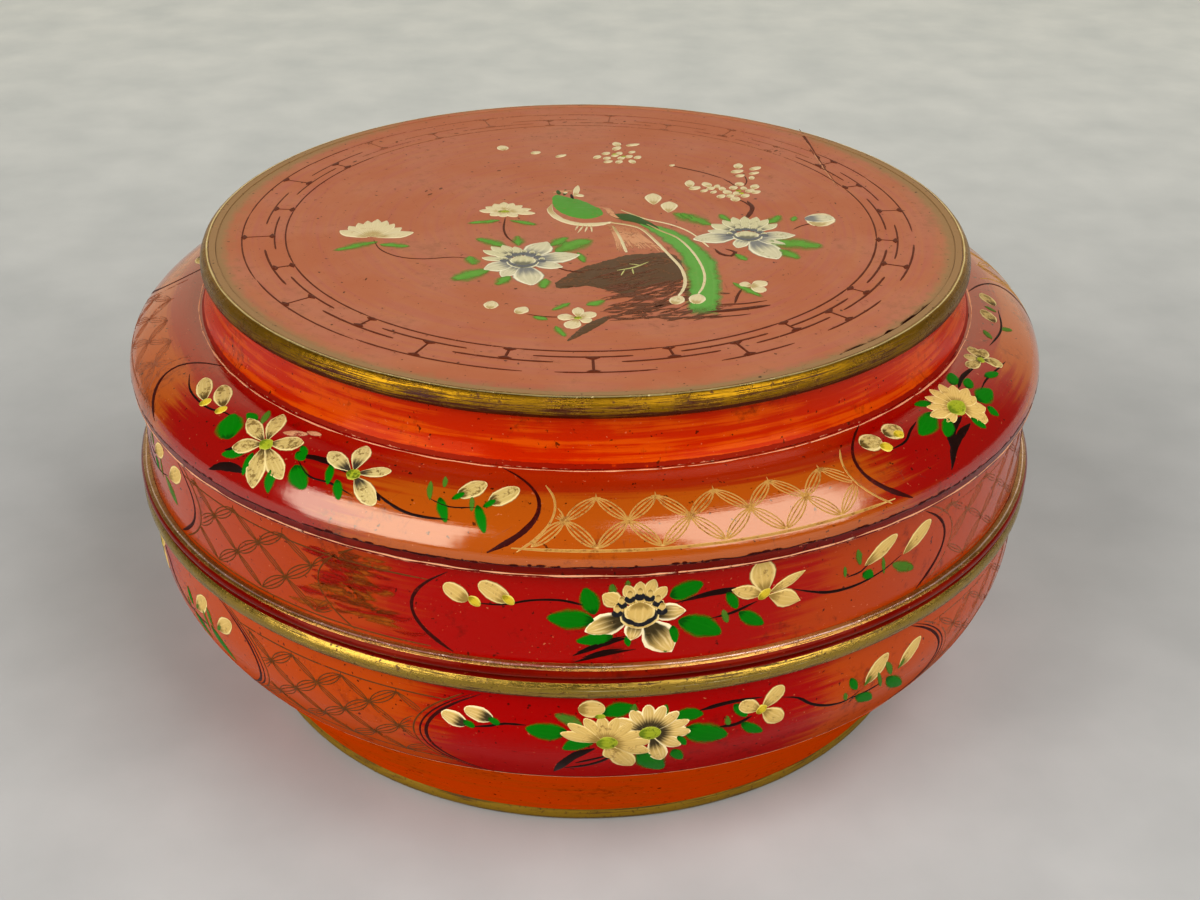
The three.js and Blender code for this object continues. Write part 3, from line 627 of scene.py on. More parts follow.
class Painting:
    """Thick paint on one surface. Places are (across, up) for the flat top, in millimetres, and
    (degrees, millimetres down) for a wall. Later strokes lie a hair higher than earlier ones."""

    def __init__(self, name, place, scale=(1.0, 1.0)):
        self.name, self.place, self.scale = name, place, scale
        self.shift = self.height = 0.0
        self.verts, self.faces, self.brush, self.finish_of, self.finishes = [], [], [], [], []

    def local(self, spot):
        """A place in millimetres of the surface, from the painting's own measures."""
        return (spot[0] + self.shift) * self.scale[0], spot[1] * self.scale[1]

    def film(self, points, faces, finish):
        """Adds points (across, up, lift, u, v), already in millimetres, and faces between them."""
        if finish not in self.finishes:
            self.finishes.append(finish)
        start = len(self.verts)
        for across, up, lift, u, v in points:
            self.verts.append(self.place(across, up, lift))
            self.brush.append((u, v))
        self.faces += [tuple(start + i for i in face) for face in faces]
        self.finish_of += [self.finishes.index(finish)] * len(faces)

    def sheet(self, rows, finish):
        """Faces between rows of points, all of one length."""
        wide = len(rows[0])
        faces = [(r * wide + c, (r + 1) * wide + c, (r + 1) * wide + c + 1, r * wide + c + 1)
                 for r in range(len(rows) - 1) for c in range(wide - 1)]
        self.film([point for row in rows for point in row], faces, finish)

    def raised(self, step):
        """How far the next stroke lies above its ground."""
        self.height = (self.height + step) % STACKED
        return self.height

    def dab(self, root, tip, width, finish, blunt=0.6, belly=0.5, bend=0.0, lift=0.12, steps=9):
        """One loaded brush stroke: a petal or leaf from root to tip."""
        (x0, y0), (x1, y1) = self.local(root), self.local(tip)
        length = hypot(x1 - x0, y1 - y0)
        ux, uy = (x1 - x0) / length, (y1 - y0) / length
        power, top_up = log(0.5) / log(belly), self.raised(0.007)
        rows = []
        for step in range(steps + 1):
            v = 0.5 - 0.5 * cos(pi * (0.03 + 0.94 * step / steps))
            half = 0.5 * width * sin(pi * v ** power) ** blunt * (1 + hand.uniform(-0.05, 0.05))
            side = bend * 4 * v * (1 - v)
            row = []
            for u, high in DAB_SECTION:
                off = side + u * half
                row.append((x0 + ux * length * v - uy * off, y0 + uy * length * v + ux * off,
                            lift * high + top_up if high else EDGE, (u + 1) / 2, v))
            rows.append(row)
        self.sheet(rows, finish)

    def spot(self, centre, wide, high, finish, turn=0.0, lift=0.16):
        """A round or oval dab, in millimetres. turn tips its long side anticlockwise, in degrees."""
        across, up = cos(radians(turn)) * wide / 2, sin(radians(turn)) * wide / 2
        self.dab((centre[0] - across / self.scale[0], centre[1] - up / self.scale[1]),
                 (centre[0] + across / self.scale[0], centre[1] + up / self.scale[1]),
                 high, finish, blunt=0.5, lift=lift, steps=8)

    def line(self, points, width, finish, lift=0.09, swell=0.0, taper=0.25, stay=None):
        """A drawn line through the points. width is one number or one for each point, swell
        thickens the middle, taper thins the ends, and stay, where given, keeps a part of it."""
        widths = list(width) if isinstance(width, (list, tuple)) else [width] * len(points)
        knots = [self.local(p) for p in points]
        knots = [(2 * knots[0][0] - knots[1][0], 2 * knots[0][1] - knots[1][1])] + knots
        knots.append((2 * knots[-1][0] - knots[-2][0], 2 * knots[-1][1] - knots[-2][1]))
        path = []
        for i in range(1, len(knots) - 2):
            a, b, c, d = knots[i - 1:i + 3]
            steps = max(2, round(hypot(c[0] - b[0], c[1] - b[1]) / LINE_PACE))
            for s in range(steps + (i == len(knots) - 3)):
                t = s / steps
                smooth = t * t * (3 - 2 * t)
                path.append((*passing(a, b, c, d, t), widths[i - 1] + (widths[i] - widths[i - 1]) * smooth))
        if stay:
            path = [p for p in path if stay(p[0], p[1])]
        if len(path) < 3:
            return
        rows, top_up = [], self.raised(0.004)
        for index, (x, y, wide) in enumerate(path):
            v = index / (len(path) - 1)
            (xa, ya), (xb, yb) = path[max(index - 1, 0)][:2], path[min(index + 1, len(path) - 1)][:2]
            length = hypot(xb - xa, yb - ya) or 1.0
            nx, ny = -(yb - ya) / length, (xb - xa) / length
            end = min(1.0, (min(v, 1 - v) + 0.02) / taper) if taper else 1.0
            half = 0.5 * wide * (1 + swell * sin(pi * v)) * end ** 0.6 * (1 + hand.uniform(-0.09, 0.09))
            rows.append([(x + nx * half * u, y + ny * half * u, lift * high + top_up if high else EDGE,
                (u + 1) / 2, v) for u, high in LINE_SECTION])
        self.sheet(rows, finish)

    def strokes(self, finish, lines):
        """Drawn lines of one paint, each given as its points, its width and, if it has one, its swell."""
        for points, width, *swell in lines:
            self.line(points, width, finish, swell=sum(swell))

    def ring(self, depth, width, finish, waver=0.1, lift=0.03):
        """An uneven line all the way round a wall."""
        for start in range(-180, 180, 20):
            turns = [start + 2 * step for step in range(11)]
            self.line([(turn, depth + hand.uniform(-waver, waver)) for turn in turns],
                      [width * hand.uniform(0.3, 1.7) for _ in turns], finish, lift=lift, taper=0.0)

    def patch(self, outline, finish, lift=0.06, ragged=0.5):
        """A filled shape with a brushed, slightly ragged outline."""
        ring = []
        for i in range(len(outline)):
            a, b, c, d = (outline[(i + step) % len(outline)] for step in (-1, 0, 1, 2))
            steps = max(2, round(hypot(c[0] - b[0], c[1] - b[1]) / PATCH_PACE))
            for s in range(steps):
                ring.append([at + hand.uniform(-ragged, ragged) for at in passing(a, b, c, d, s / steps)])
        centre = [sum(p[k] for p in ring) / len(ring) for k in (0, 1)]
        inner = [[p[k] + (centre[k] - p[k]) * 0.06 for k in (0, 1)] for p in ring]
        count = len(ring)
        points = [(*p, EDGE, 0.0, 0.3) for p in ring] + [(*p, lift, 0.5, 0.3) for p in inner]
        faces = [(i, (i + 1) % count, count + (i + 1) % count, count + i) for i in range(count)]
        fill = geometry.tessellate_polygon([[Vector((*p, 0)) for p in inner]])
        faces += [tuple(count + i for i in face) for face in fill]
        self.film(points, faces, finish)

    def blossom(self, heart, tips, width, finish, blunt=0.55, belly=0.6, gap=0.12, lift=0.14):
        """Petals from near the heart out to each tip. A tip may carry its own width."""
        for tip in tips:
            own = tip[2] if len(tip) > 2 else width
            root = (heart[0] + (tip[0] - heart[0]) * gap, heart[1] + (tip[1] - heart[1]) * gap)
            self.dab(root, tip[:2], own, finish, blunt=blunt, belly=belly, lift=lift)

    def leaves(self, finish, places, blunt=0.7, lift=0.1):
        """Leaves given as (root across, root up, tip across, tip up, width)."""
        for x0, y0, x1, y1, width in places:
            self.dab((x0, y0), (x1, y1), width, finish, blunt=blunt, belly=0.46, lift=lift,
                     bend=hand.uniform(-0.06, 0.06) * width)

    def done(self, body):
        """Makes the film a piece that rides on a body."""
        piece = placed(self.name, self.verts, self.faces, self.finishes, self.finish_of)
        layer = piece.data.uv_layers.new(name="Brush")
        places = [at for loop in piece.data.loops for at in self.brush[loop.vertex_index]]
        layer.data.foreach_set("uv", places)
        piece.data.shade_smooth()
        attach(piece, body)


def flat_top(across, up, lift):
    """Places on the lid's flat top."""
    return Vector((across, up, TOP_FACE + lift)) * MM


def wall_of(line, reference):
    """Places on a turned wall: across in millimetres at the reference radius, up from the line's top."""
    lengths = [0.0]
    for (r0, z0), (r1, z1) in zip(line, line[1:]):
        lengths.append(lengths[-1] + hypot(r1 - r0, z1 - z0))

    def place(across, up, lift):
        down = min(max(-up, 0.0), lengths[-1] - 0.001)
        index = max(i for i, length in enumerate(lengths[:-1]) if length <= down)
        (r0, z0), (r1, z1) = line[index], line[index + 1]
        span = lengths[index + 1] - lengths[index]
        share = (down - lengths[index]) / span
        radius = r0 + (r1 - r0) * share + lift * (z0 - z1) / span
        height = z0 + (z1 - z0) * share + lift * (r1 - r0) / span
        angle = across / reference
        return Vector((radius * cos(angle), radius * sin(angle), height)) * MM
    return place


def lattice(paint, left, right, rows, pitch, finish, width, links):
    """Diagonal lattice between two panel ends, with a small star on each node. links gives, for
    the two slants, how far each of a link's lines bows out from the straight. left and right
    give the panel's ends in degrees for a depth."""
    def inside(across, up):
        turn = across / paint.scale[0]
        return left(-up) + 0.6 < turn < right(-up) - 0.6

    first = left(rows[1]) - 8
    for level, down in enumerate(rows[:-1]):
        below = rows[level + 1]
        for column in range(int((right(down) - first) / pitch) + 4):
            turn = first + (column + 0.5 * (level % 2)) * pitch
            for side, bows in ((0.5, links[0]), (-0.5, links[1])):
                end = turn + side * pitch
                x0, x1 = turn * paint.scale[0], end * paint.scale[0]
                length = hypot(x1 - x0, below - down)
                nx, ny = (below - down) / length, -(x1 - x0) / length
                for bow in bows:
                    path = [(turn, down)]
                    for along, share in ((0.22, 0.75), (0.5, 1.0), (0.78, 0.75)):
                        path.append(((x0 + (x1 - x0) * along + nx * bow * share) / paint.scale[0],
                                     down + (below - down) * along + ny * bow * share))
                    paint.line(path + [(end, below)], width, finish, lift=0.07, taper=0.06, stay=inside)
            star = 1.5 / paint.scale[0]
            for dx, dy in ((star, 0), (0, 1.7)):
                paint.line([(turn - dx, down - dy), (turn, down), (turn + dx, down + dy)], width, finish,
                           lift=0.1, taper=0.4, stay=inside)
    for end, gap in ((left, 0.5), (right, -0.5)):
        depths = [rows[0] - 5 + (rows[-1] - rows[0] + 7) * s / 7 for s in range(8)]
        paint.line([(end(d) + gap, d) for d in depths], width * 1.5, finish, taper=0.1)


def with_next(turns):
    """Each turn in degrees with the next one round the box."""
    return list(zip(turns, turns[1:] + [turns[0] + 360]))


def end_arc(middle, ends, top, bottom):
    """A panel's bowed end: its angle at a depth, from the angle at mid depth and at its two ends."""
    def at(down):
        share = (down - top) / (bottom - top) * 2 - 1
        return middle + (ends - middle) * share * share
    return at


def peony(paint, heart, back, petals, dome, shaded, plain, shadow):
    """A full flower seen from the side: small petals and a row of dark-eyed pearls round an oval
    dome, with a shadow under it and large dark-rooted petals in front."""
    wide, high = dome
    up = 1 / paint.scale[1]
    paint.blossom(heart, petals, 10, shaded, belly=0.56, blunt=0.85, gap=0.12, lift=0.13)
    paint.blossom(heart, back, 5.0, plain, gap=0.35, blunt=0.8, lift=0.16)
    for step in range(7):
        a = radians(168 - 26 * step)
        x, y = heart[0] + 0.6 * wide * cos(a) / paint.scale[0], heart[1] + 0.95 * high * sin(a) * up
        paint.spot((x, y - 0.17 * high * up), 0.3 * wide, 0.28 * wide, shadow, lift=0.24)
        paint.spot((x, y + 0.06 * high * up), 0.25 * wide, 0.22 * wide, plain, turn=90 * up, lift=0.27)
    for size, drop, finish, lift in ((1.2, 1.2, plain, 0.22), (1.1, 0.9, shadow, 0.25),
            (0.96, -0.3, plain, 0.29)):
        paint.spot((heart[0], heart[1] - drop * up), high * size, wide * size, finish, turn=90 * up,
            lift=lift)


# The lid's top: a ring fret, flower sprays, and a long-tailed bird on a rock.
top = Painting("top_painting", flat_top)
FRET_X, FRET_Y, FRET_IN, FRET_OUT = -2.0, 1.5, 121.8, 138.0
INNER_TURNS = [-156.5, -127.8, -101.1, -74.6, -52.2, -32.4, -8.1, 20, 46, 72, 98, 124, 150, 175.6]
OUTER_TURNS = [-142.1, -114.4, -87.4, -63.5, -43, -19.2, 6.5, 33, 59, 85, 111, 137, 161.3, 188.9]


def fret_line(turn):
    """The fret's paint at a turn in degrees: faint behind, where it has been rubbed."""
    return line_brown if sin(radians(turn)) < 0.6 else line_worn_faint_and_sheen


def ringed(radius, start, stop, width, taper=0.12):
    """An arc of the fret, cut where its paint changes."""
    for fade in (38, 142):
        if start + 2 < fade < stop - 2:
            ringed(radius, start, fade, width, taper)
            start = fade
    count = max(3, round((stop - start) / 2.5))
    points = []
    for s in range(count + 1):
        a = radians(start + (stop - start) * s / count)
        points.append((FRET_X + radius * cos(a), FRET_Y + radius * sin(a)))
    top.line(points, width, fret_line((start + stop) / 2), lift=0.07, taper=taper)


for (inner, next_inner), (outer, next_outer) in zip(with_next(INNER_TURNS), with_next(OUTER_TURNS)):
    wide = 0.75 + 0.45 * max(0.0, -sin(radians(inner)))
    ringed(FRET_IN, inner, next_inner - 0.3, wide)
    span = (next_outer - outer) * (0.62 if -110 < outer < 0 else 1.0)
    outside = FRET_OUT - 1.2 * cos(radians(outer))
    ringed(outside, outer - 0.38 * span, outer + 0.62 * span, wide)
    ringed(FRET_IN + 8.6, inner - 8.4, inner + 7.6, wide * 1.1, 0.05)
    ringed(FRET_IN + 4.4, outer - 9.5, outer + 6.5, wide * 1.1, 0.05)
    tone = fret_line(inner)
    for turn, low, high in ((inner, FRET_IN, FRET_IN + 8.6), (outer, FRET_IN + 4.4, outside)):
        dx, dy = cos(radians(turn)), sin(radians(turn))
        spoke = [(FRET_X + r * dx, FRET_Y + r * dy) for r in (low, (low + high) / 2, high)]
        top.line(spoke, wide, tone, taper=0)
        for radius, lean in ((low, 1), (high, -1)):
            x, y = FRET_X + (radius + 0.9 * lean) * dx, FRET_Y + (radius + 0.9 * lean) * dy
            top.dab((x + 2.6 * dy, y - 2.6 * dx), (x - 2.6 * dy, y + 2.6 * dx), 2.8, tone, blunt=1.3)

top.leaves(blurred_green, [(-84, -23, -101, -33, 8), (-83, -26, -70, -28, 7), (-36, 1, -50, -3, 6),
    (-32, 1, -20, -4, 6), (-46, -37, -43, -46, 8), (57, -60, 68, -74, 6), (-5, -80, -12, -87, 5),
    (-10, -100, -6, -109, 5), (-32, -27, -45, -18, 9), (-27, -26, -28, -15, 7), (-12, -32, 3, -18, 14),
    (-14, -26, -7, -16, 8), (-37, -50, -52, -61, 13), (-29, -56, -34, -65, 8), (-15, -58, -16, -68, 7),
    (-3, -32, 0, -43, 5), (52, -2, 36, 12, 12), (44, 4, 40, 12, 7), (60, 2, 56, 11, 6), (76, 0, 82, 10, 8),
    (86, 3, 88, 9, 5), (74, -19, 97, -24, 16), (78, -27, 85, -37, 10), (60, -32, 64, -39, 6),
    (1, -82, 8, -77, 7), (-13, -95, -19, -92, 5)])
for points, width in (([(-86, -21), (-82, -31), (-74, -38), (-64, -40), (-52, -38), (-43, -40)], 0.8),
        ([(-34, 4), (-34, -8), (-32, -17), (-28.5, -23)], 1.0), ([(-21, -90), (-15, -92), (-8, -92.5)], 0.8),
        ([(60, -66), (58, -72), (56.5, -79)], 1.3), ([(69, 26), (70.5, 18), (68.5, 10), (66, 4)], 2.3),
        ([(64, 29), (68, 24), (70, 19)], 1.2), ([(37, 69), (44, 65), (52, 60), (60, 53)], 1.1),
        ([(60, 53), (64, 46), (66, 40)], 0.8), ([(70, 57), (70.5, 50), (69, 44)], 0.7),
        ([(94, 1), (89, -2), (85.5, -6)], 0.9), ([(52, -27), (54, -32), (58, -34), (60, -30), (56, -27)],
        2.0), ([(-12, -46), (-7, -50), (0, -52)], 1.2), ([(45, -87), (58, -84), (70, -80)], 2.6),
        ([(50, -80), (60, -79), (69, -76)], 1.2), ([(44, -91), (54, -90), (62, -88)], 1.0)):
    top.line(points, width, bark_brown)

top.patch([(-12, -63.5), (-6.5, -53.5), (-1, -46.5), (5, -42), (11, -37.5), (16.5, -34), (23.5, -32.5),
    (32, -31), (37, -35), (39, -47), (39, -56.5), (33.5, -62.5), (27.5, -64), (21, -68), (15, -72),
    (9.5, -68.5), (3, -65.5), (-4, -64.5), (-8.5, -67.5)], rock_brown, lift=0.05)
for _ in range(60):
    x, y = hand.uniform(-8, 26), hand.uniform(-66, -38)
    if -50 + 0.5 * x > y - 6 * (x > 10):
        points = [(x, y), (x + 3, y + 2), (x + hand.uniform(6, 10), y + hand.uniform(2, 6))]
        top.line(points, hand.uniform(0.8, 2.0), hand.choice((rock_dry, rock_brown)), lift=0.08, taper=0.4)
for _ in range(190):
    x, y = hand.uniform(6, 46), hand.uniform(-95, -62)
    if hand.random() < 0.02 * abs(y + 82) + 0.01 * max(0.0, 14 - x):
        continue
    length, slope = hand.uniform(5, 13), radians(hand.uniform(0, 42))
    dx, dy = length * cos(slope), length * sin(slope)
    points = [(x, y), (x + dx / 2, y + dy / 2 + hand.uniform(-1, 1)), (x + dx, y + dy)]
    top.line(points, hand.uniform(0.8, 2.6), rock_dry, lift=0.05)
top.patch([(-5.5, -112), (-3, -105.5), (2, -97), (8.5, -91), (10, -92.5), (6, -99.5), (0, -107),
    (-4, -111.5)], rock_brown, lift=0.05, ragged=0.2)
for points in ([(12.5, -49.5), (19, -46.5), (25, -41)], [(15.5, -49), (14, -54.5)],
        [(18.5, -47.5), (19, -53)], [(22, -44.5), (17.5, -43)]):
    top.line(points, 1.0, moss_yellow, taper=0.5, lift=0.14)

# The bird: green neck and breast, a dark wing, a broad tail with cream shafts, and a blush under it.
for index in range(24):
    share = index / 23
    end = (13 + 19 * share + hand.uniform(-1, 1), -31 + 3 * sin(3 * share) + hand.uniform(-2, 2))
    top.line([(8 + 12 * share, -1 - 4 * share), (11 + 13 * share, -12 - 4 * share), end],
        hand.uniform(0.9, 1.8), blush, taper=0.5, lift=0.04)
top.line([(23, -1), (32, -10), (39, -22), (44.5, -37), (46, -54), (45.5, -71), (44, -90)],
    [4, 11, 13, 15, 15.5, 16, 13], bird_tail, taper=0.04, lift=0.07)
top.line([(10.5, 8), (17, 6), (24, 0), (30, -7)], [5, 9, 5.5, 3], wing_dark, taper=0.1, lift=0.1)
top.patch([(-15, 28), (-13, 31), (-8, 28), (-2.5, 25), (2.5, 19), (6, 14.5), (7, 9.5), (4.5, 5.5),
    (-0.5, 3.5), (-6.5, 6), (-11.5, 11.5), (-14.5, 19)], bird_green, lift=0.1, ragged=0.2)
top.line([(-15, 20), (-15.4, 12), (-11, 3), (-4, -2), (4, -2.4), (11, 0.5)], [1.5, 3, 3.4, 3.6, 4, 4],
    top_cream, taper=0.15, lift=0.14)
top.line([(4, 17), (9, 15), (11, 8), (14, 4)], [2.5, 4, 4, 2.5], blush, taper=0.4, lift=0.12)
for points, width in (([(9.5, 0), (17, -2.5), (23, -7), (28.5, -20), (33.5, -34), (37.5, -46), (38.8, -58),
        (37.5, -67.5), (35, -74)], 1.5), ([(25, -1.5), (31.5, -9.5), (37, -15.5), (41.5, -26), (45, -39.5),
        (46.5, -52.5), (45.5, -63.5), (43, -71.5)], 1.5),
        ([(14.5, 14), (24.5, 4.5), (35.5, -2), (43.5, -11), (50, -26)], 0.9),
        ([(11, -4), (14, -17), (16.5, -32)], 1.5)):
    top.line(points, width, top_cream, taper=0.1, lift=0.15)
for points in ([(-1, -3), (-3.5, -12)], [(0.6, -3.4), (-0.5, -11)], [(2, -3.4), (2.4, -11)],
        [(-3, -2), (-4.6, -9)]):
    top.line(points, 0.9, top_cream, taper=0.4, lift=0.12)
top.spot((35, -76.5), 8, 6.4, top_cream, turn=70)
top.spot((42.6, -75.5), 9, 7, top_cream, turn=80, lift=0.2)
top.line([(-15.5, 32.5), (-12, 34.5), (-6, 35.5)], 3.4, blush, taper=0.4, lift=0.08)
top.leaves(wing_dark, [(-12, 31, -13, 36.5, 2.4), (-9.6, 31, -9.6, 37.5, 2.4)])
top.dab((-5.4, 29), (-4.2, 42.5), 3, top_cream)
top.spot((-3.4, 30.5), 4.6, 3.4, top_cream, turn=-30)
top.line([(-7, 32), (-6.6, 28.6), (-6, 26)], 1.4, stem_dark, lift=0.16)
top.spot((-9.6, 33.4), 2.2, 1.8, top_cream, lift=0.2)

# Lotus, small chrysanthemum and the two peonies.
top.blossom((-87, -20), [(-101, -12, 7.5), (-70.5, -13, 7.5), (-98, -7, 6.5), (-76, -8, 6.5), (-94.5, -3.6),
    (-91, -1), (-87, 0.8), (-83, -0.6), (-79.5, -4), (-92.5, -9, 5.4), (-81.5, -9.5, 5.4), (-87, -8, 6)], 5.6,
    top_cream, blunt=0.8)
top.blossom((-35, 11), [(-45.5, 11.5, 5), (-43, 16), (-39.5, 19.5), (-35.5, 21.5), (-31.5, 20.5), (-27.5, 18),
    (-23.5, 14), (-21.5, 9, 5), (-40.5, 6, 5), (-35, 4.5, 5), (-29, 5, 5), (-38, 14, 4), (-32, 14, 4)], 4.8,
    top_cream, blunt=0.8)
top.spot((-35, 11), 5, 3.6, heart_yellow)
peony(top, (-24.5, -41.5), [(-41, -38.5), (-41, -31), (-38, -27), (-33.5, -25.5), (-28.5, -27),
    (-36.5, -34, 4.6), (-32.5, -31, 4.6), (-28, -32, 4.6), (-35.5, -39, 4.6)],
    [(-15.5, -21.5, 12), (-2, -34.5, 11), (-20, -64.5, 13), (-39.5, -50, 10), (-8.5, -47, 8), (-32, -57, 8)],
    (12.5, 9.5), top_shaded, top_small, grey_shadow)
peony(top, (66, -13), [(52, -1, 7), (57, 3.5), (61.5, 7), (66.5, 8), (71.5, 7.5), (76, 5), (79.5, 0),
    (61, 0, 4.6), (66, 2.4, 4.6), (71, 1, 4.6), (75, -3, 4.6)],
    [(43.5, -17.5, 12), (76.5, -37, 14), (86, -12, 9), (50, -8, 8), (81, -22, 8), (61, -26, 7)], (12, 8.5),
    top_shaded, top_small, grey_shadow)

# Blossom clusters, buds and dashes.
for places in ([(13, 97, 5.4, 4.6), (20.5, 96, 7, 3.4), (13, 91, 6, 4), (8, 84, 4.6, 3.8), (4, 79, 5, 3.6),
        (8.5, 77.5, 4.2, 3.6), (14, 84, 4.6, 3.6), (18.5, 80, 4.6, 3.8), (22.5, 79, 4.6, 3.6),
        (9, 73, 4.6, 3.6), (14, 73, 4.6, 3.6), (20, 73.5, 5, 3.6), (15, 78, 4.4, 3.6), (12, 81, 4, 3.2),
        (20, 86, 4, 3)], [(68, 69, 6.6, 4.6), (75.5, 66, 6.6, 4), (67, 62, 6.6, 4.2), (74.5, 60, 5.5, 3),
        (68, 56.5, 4.6, 3.6), (73, 54, 4.4, 2.8)],
        [(45, 46, 8, 4.6), (52.5, 45, 6, 4.6), (47, 40.5, 6, 4.2), (54, 40.5, 4.6, 3.6), (57, 43, 4.2, 3),
        (51, 37.5, 4.2, 3), (55, 36, 4, 2.8)], [(67, 46, 4.6, 4.4), (73.5, 43, 5.6, 4.4), (64, 41.5, 4.6, 4),
        (71, 38, 5, 4), (61, 36, 5, 4.4), (58, 31, 4.8, 4), (64, 28, 5.6, 4.6), (68.5, 32, 4.8, 4),
        (65, 34.5, 4.6, 3.8), (73.5, 36.5, 4.8, 3.8), (59, 40, 4.4, 3.4), (68.5, 41, 4, 3.2),
        (62, 31.5, 4.4, 3.6)], [(-40, 90, 6.5, 6), (-24.5, 84, 5, 4.2), (-12.7, 80, 6, 3.4),
        (-34.5, -82.5, 6.8, 6), (-23, -87, 6.6, 5.8), (38, 69, 3, 2.4)]):
    for x, y, wide, high in places:
        top.spot((x, y), wide, high, top_cream, turn=hand.uniform(20, 110))
for x, y in ((66, 38), (67, 35), (12, 83), (16, 80)):
    top.spot((x, y), 2.4, 2.0, heart_yellow, lift=0.2)
top.dab((28.5, 20.5), (28.5, 33.5), 8, top_cream, belly=0.6)
top.dab((34.5, 11.5), (35.5, 24), 8, top_cream, belly=0.62)
top.spot((98, 5), 15, 13, top_cream, turn=70)
top.dab((91.5, 5.5), (104, 7), 10, top_shaded, blunt=0.45, lift=0.2)
top.blossom((64, -63), [(59.5, -61, 6), (70, -59, 6.4), (68.5, -68.5, 6.4)], 5.6, top_cream, gap=0.0)
top.blossom((-2, -93), [(-2, -84, 5), (-9.5, -92, 6), (-5, -102, 7), (4.5, -88.5, 6), (3, -96, 5)], 5.4,
    top_cream, gap=0.1)
top.spot((-2, -93), 3, 2.6, heart_yellow, lift=0.2)
for x, y in ((-63, 110), (-106, 70), (-68, 30), (-70, 34), (-12, 128), (-90, 97), (17, 130), (68, 110),
        (87, 90), (-64, 37), (-84, -60), (-40, 60)):
    top.spot((x, y), hand.uniform(1.6, 3.4), hand.uniform(1.0, 2.0), rock_dry, turn=hand.uniform(0, 90),
        lift=0.03)
# Old dirt lines the opened joint, and the lacquer beside it has cracked.
top.line([(x + 0.3 + hand.uniform(-0.3, 0.3), y) for x, y, _ in joint[:4]] + [(109.0, 54)],
    [0.4, 0.8, 0.9, 0.3, 0.2], line_brown, lift=0.02, taper=0.0)
top.line([(x - 0.7, y) for x, y, _ in joint[1:]], [0.3, 0.5, 0.7, 0.5], blush, lift=0.02, taper=0.0)
for _ in range(9):
    y = hand.uniform(68, 112)
    x = 104.6 + (84 - y) * 0.115 + hand.uniform(-1.6, 1.4)
    points = [(x, y), (x + hand.uniform(0.2, 1.4), y - 3),
        (x + hand.uniform(0.2, 1.8), y - hand.uniform(5, 9))]
    top.line(points, 0.8, line_brown, lift=0.03, taper=0.4)
top.done("lid")


# The shoulder: two kinds of panel, each twice, with lattice between them.
SHOULDER_R, SIDE_R, BOWL_R = 175.0, 187.0, 188.0
shoulder = Painting("shoulder_painting", wall_of(shoulder_outside, SHOULDER_R), (radians(SHOULDER_R), -1.0))


def spray_of_stars(paint):
    """Shoulder panel with a six-petalled and a four-petalled flower."""
    paint.strokes(stem_dark, [([(-149.6, 15), (-146, 18.8), (-141, 19), (-138, 16.5), (-135.5, 16.5)], 0.9),
        ([(-134.5, 37), (-133, 34), (-131, 32), (-129, 31.5)], 2.4, 0.5),
        ([(-133.5, 28), (-132, 25.5), (-130.5, 24)], 1.8, 0.4),
        ([(-124, 18), (-121.5, 16.5), (-119, 16.8), (-117, 18.5)], 1.8, 0.4),
        ([(-113, 22), (-111, 25), (-108.5, 27.5), (-106, 28), (-103.5, 27.5)], 1.1),
        ([(-112.8, 23), (-111.6, 25.5)], 2.2), ([(-123.5, 20), (-121, 24), (-118, 24), (-115, 26)], 0.8),
        ([(-106.4, 21), (-104, 23), (-101, 22)], 0.6)])
    paint.leaves(leaf_green, [(-134, 24, -137, 15, 12.5), (-133, 13, -135.4, 12, 5),
        (-130.6, 25, -133.6, 30, 5), (-123.5, 22, -120.6, 29, 8.5), (-124.5, 17, -122.8, 19, 5),
        (-125.8, 26, -125, 35, 5), (-129.6, 24, -129.2, 33, 3.8), (-119.4, 17, -118.3, 25, 4),
        (-117.6, 22, -116.2, 29, 4.4), (-105.3, 20, -103.8, 29, 4.4), (-101, 21, -99.6, 31, 4.4),
        (-124.6, 14, -123, 17, 3.6)])
    paint.leaves(faded_green, [(-132, 13, -133.4, 6, 4), (-105.6, 11, -105.2, 16, 2.4),
        (-107, 14, -106.2, 22, 2.6), (-101.8, 18, -101.4, 24, 2.4)], lift=0.06)
    for bud, calyx in (((-142.6, 17.5, -147, 11.5, 7), (-142.2, 18)),
            ((-139.2, 15, -143.4, 8.5, 7.8), (-139, 16.6))):
        paint.dab(bud[:2], bud[2:4], bud[4], old_cream, blunt=0.5, belly=0.55)
        paint.spot(calyx, 5, 4, bud_yellow, turn=60, lift=0.2)
    paint.blossom((-129, 19), [(-131.2, 4.5, 7.5), (-134.4, 13.5, 6.6), (-132.8, 26, 7), (-127.2, 35.5, 8.8),
        (-123.9, 28.5, 7.5), (-124.6, 12.6, 7.5)], 7, old_cream, blunt=0.8, gap=0.05, lift=0.15)
    paint.dab((-128.4, 12), (-125.2, 8.4), 3.4, blush, lift=0.12)
    paint.dab((-125.8, 7.4), (-123.6, 6.6), 3, blush, lift=0.12)
    paint.spot((-128.9, 19.2), 5.8, 5.4, heart_yellow, lift=0.22)
    paint.blossom((-116.2, 18), [(-117.2, 4.5, 7.4), (-120.8, 12.5, 6.8), (-112, 13.2, 5), (-112, 27.5, 7.4)],
        7, old_shaded, blunt=0.65, gap=0.08, lift=0.15)
    paint.spot((-116.1, 18.3), 5.4, 5, heart_yellow, lift=0.22)
    for root, tip, width in (((-103.4, 18.5), (-100.6, 11.5), 7.4), ((-99.8, 20), (-96.8, 12.5), 7.4)):
        paint.dab(root, tip, width, old_cream, blunt=0.5)
        paint.dab((root[0] - 0.5, root[1] + 1.6), (root[0] + 0.7, root[1] - 1.6), 2.8, leaf_green, lift=0.2)


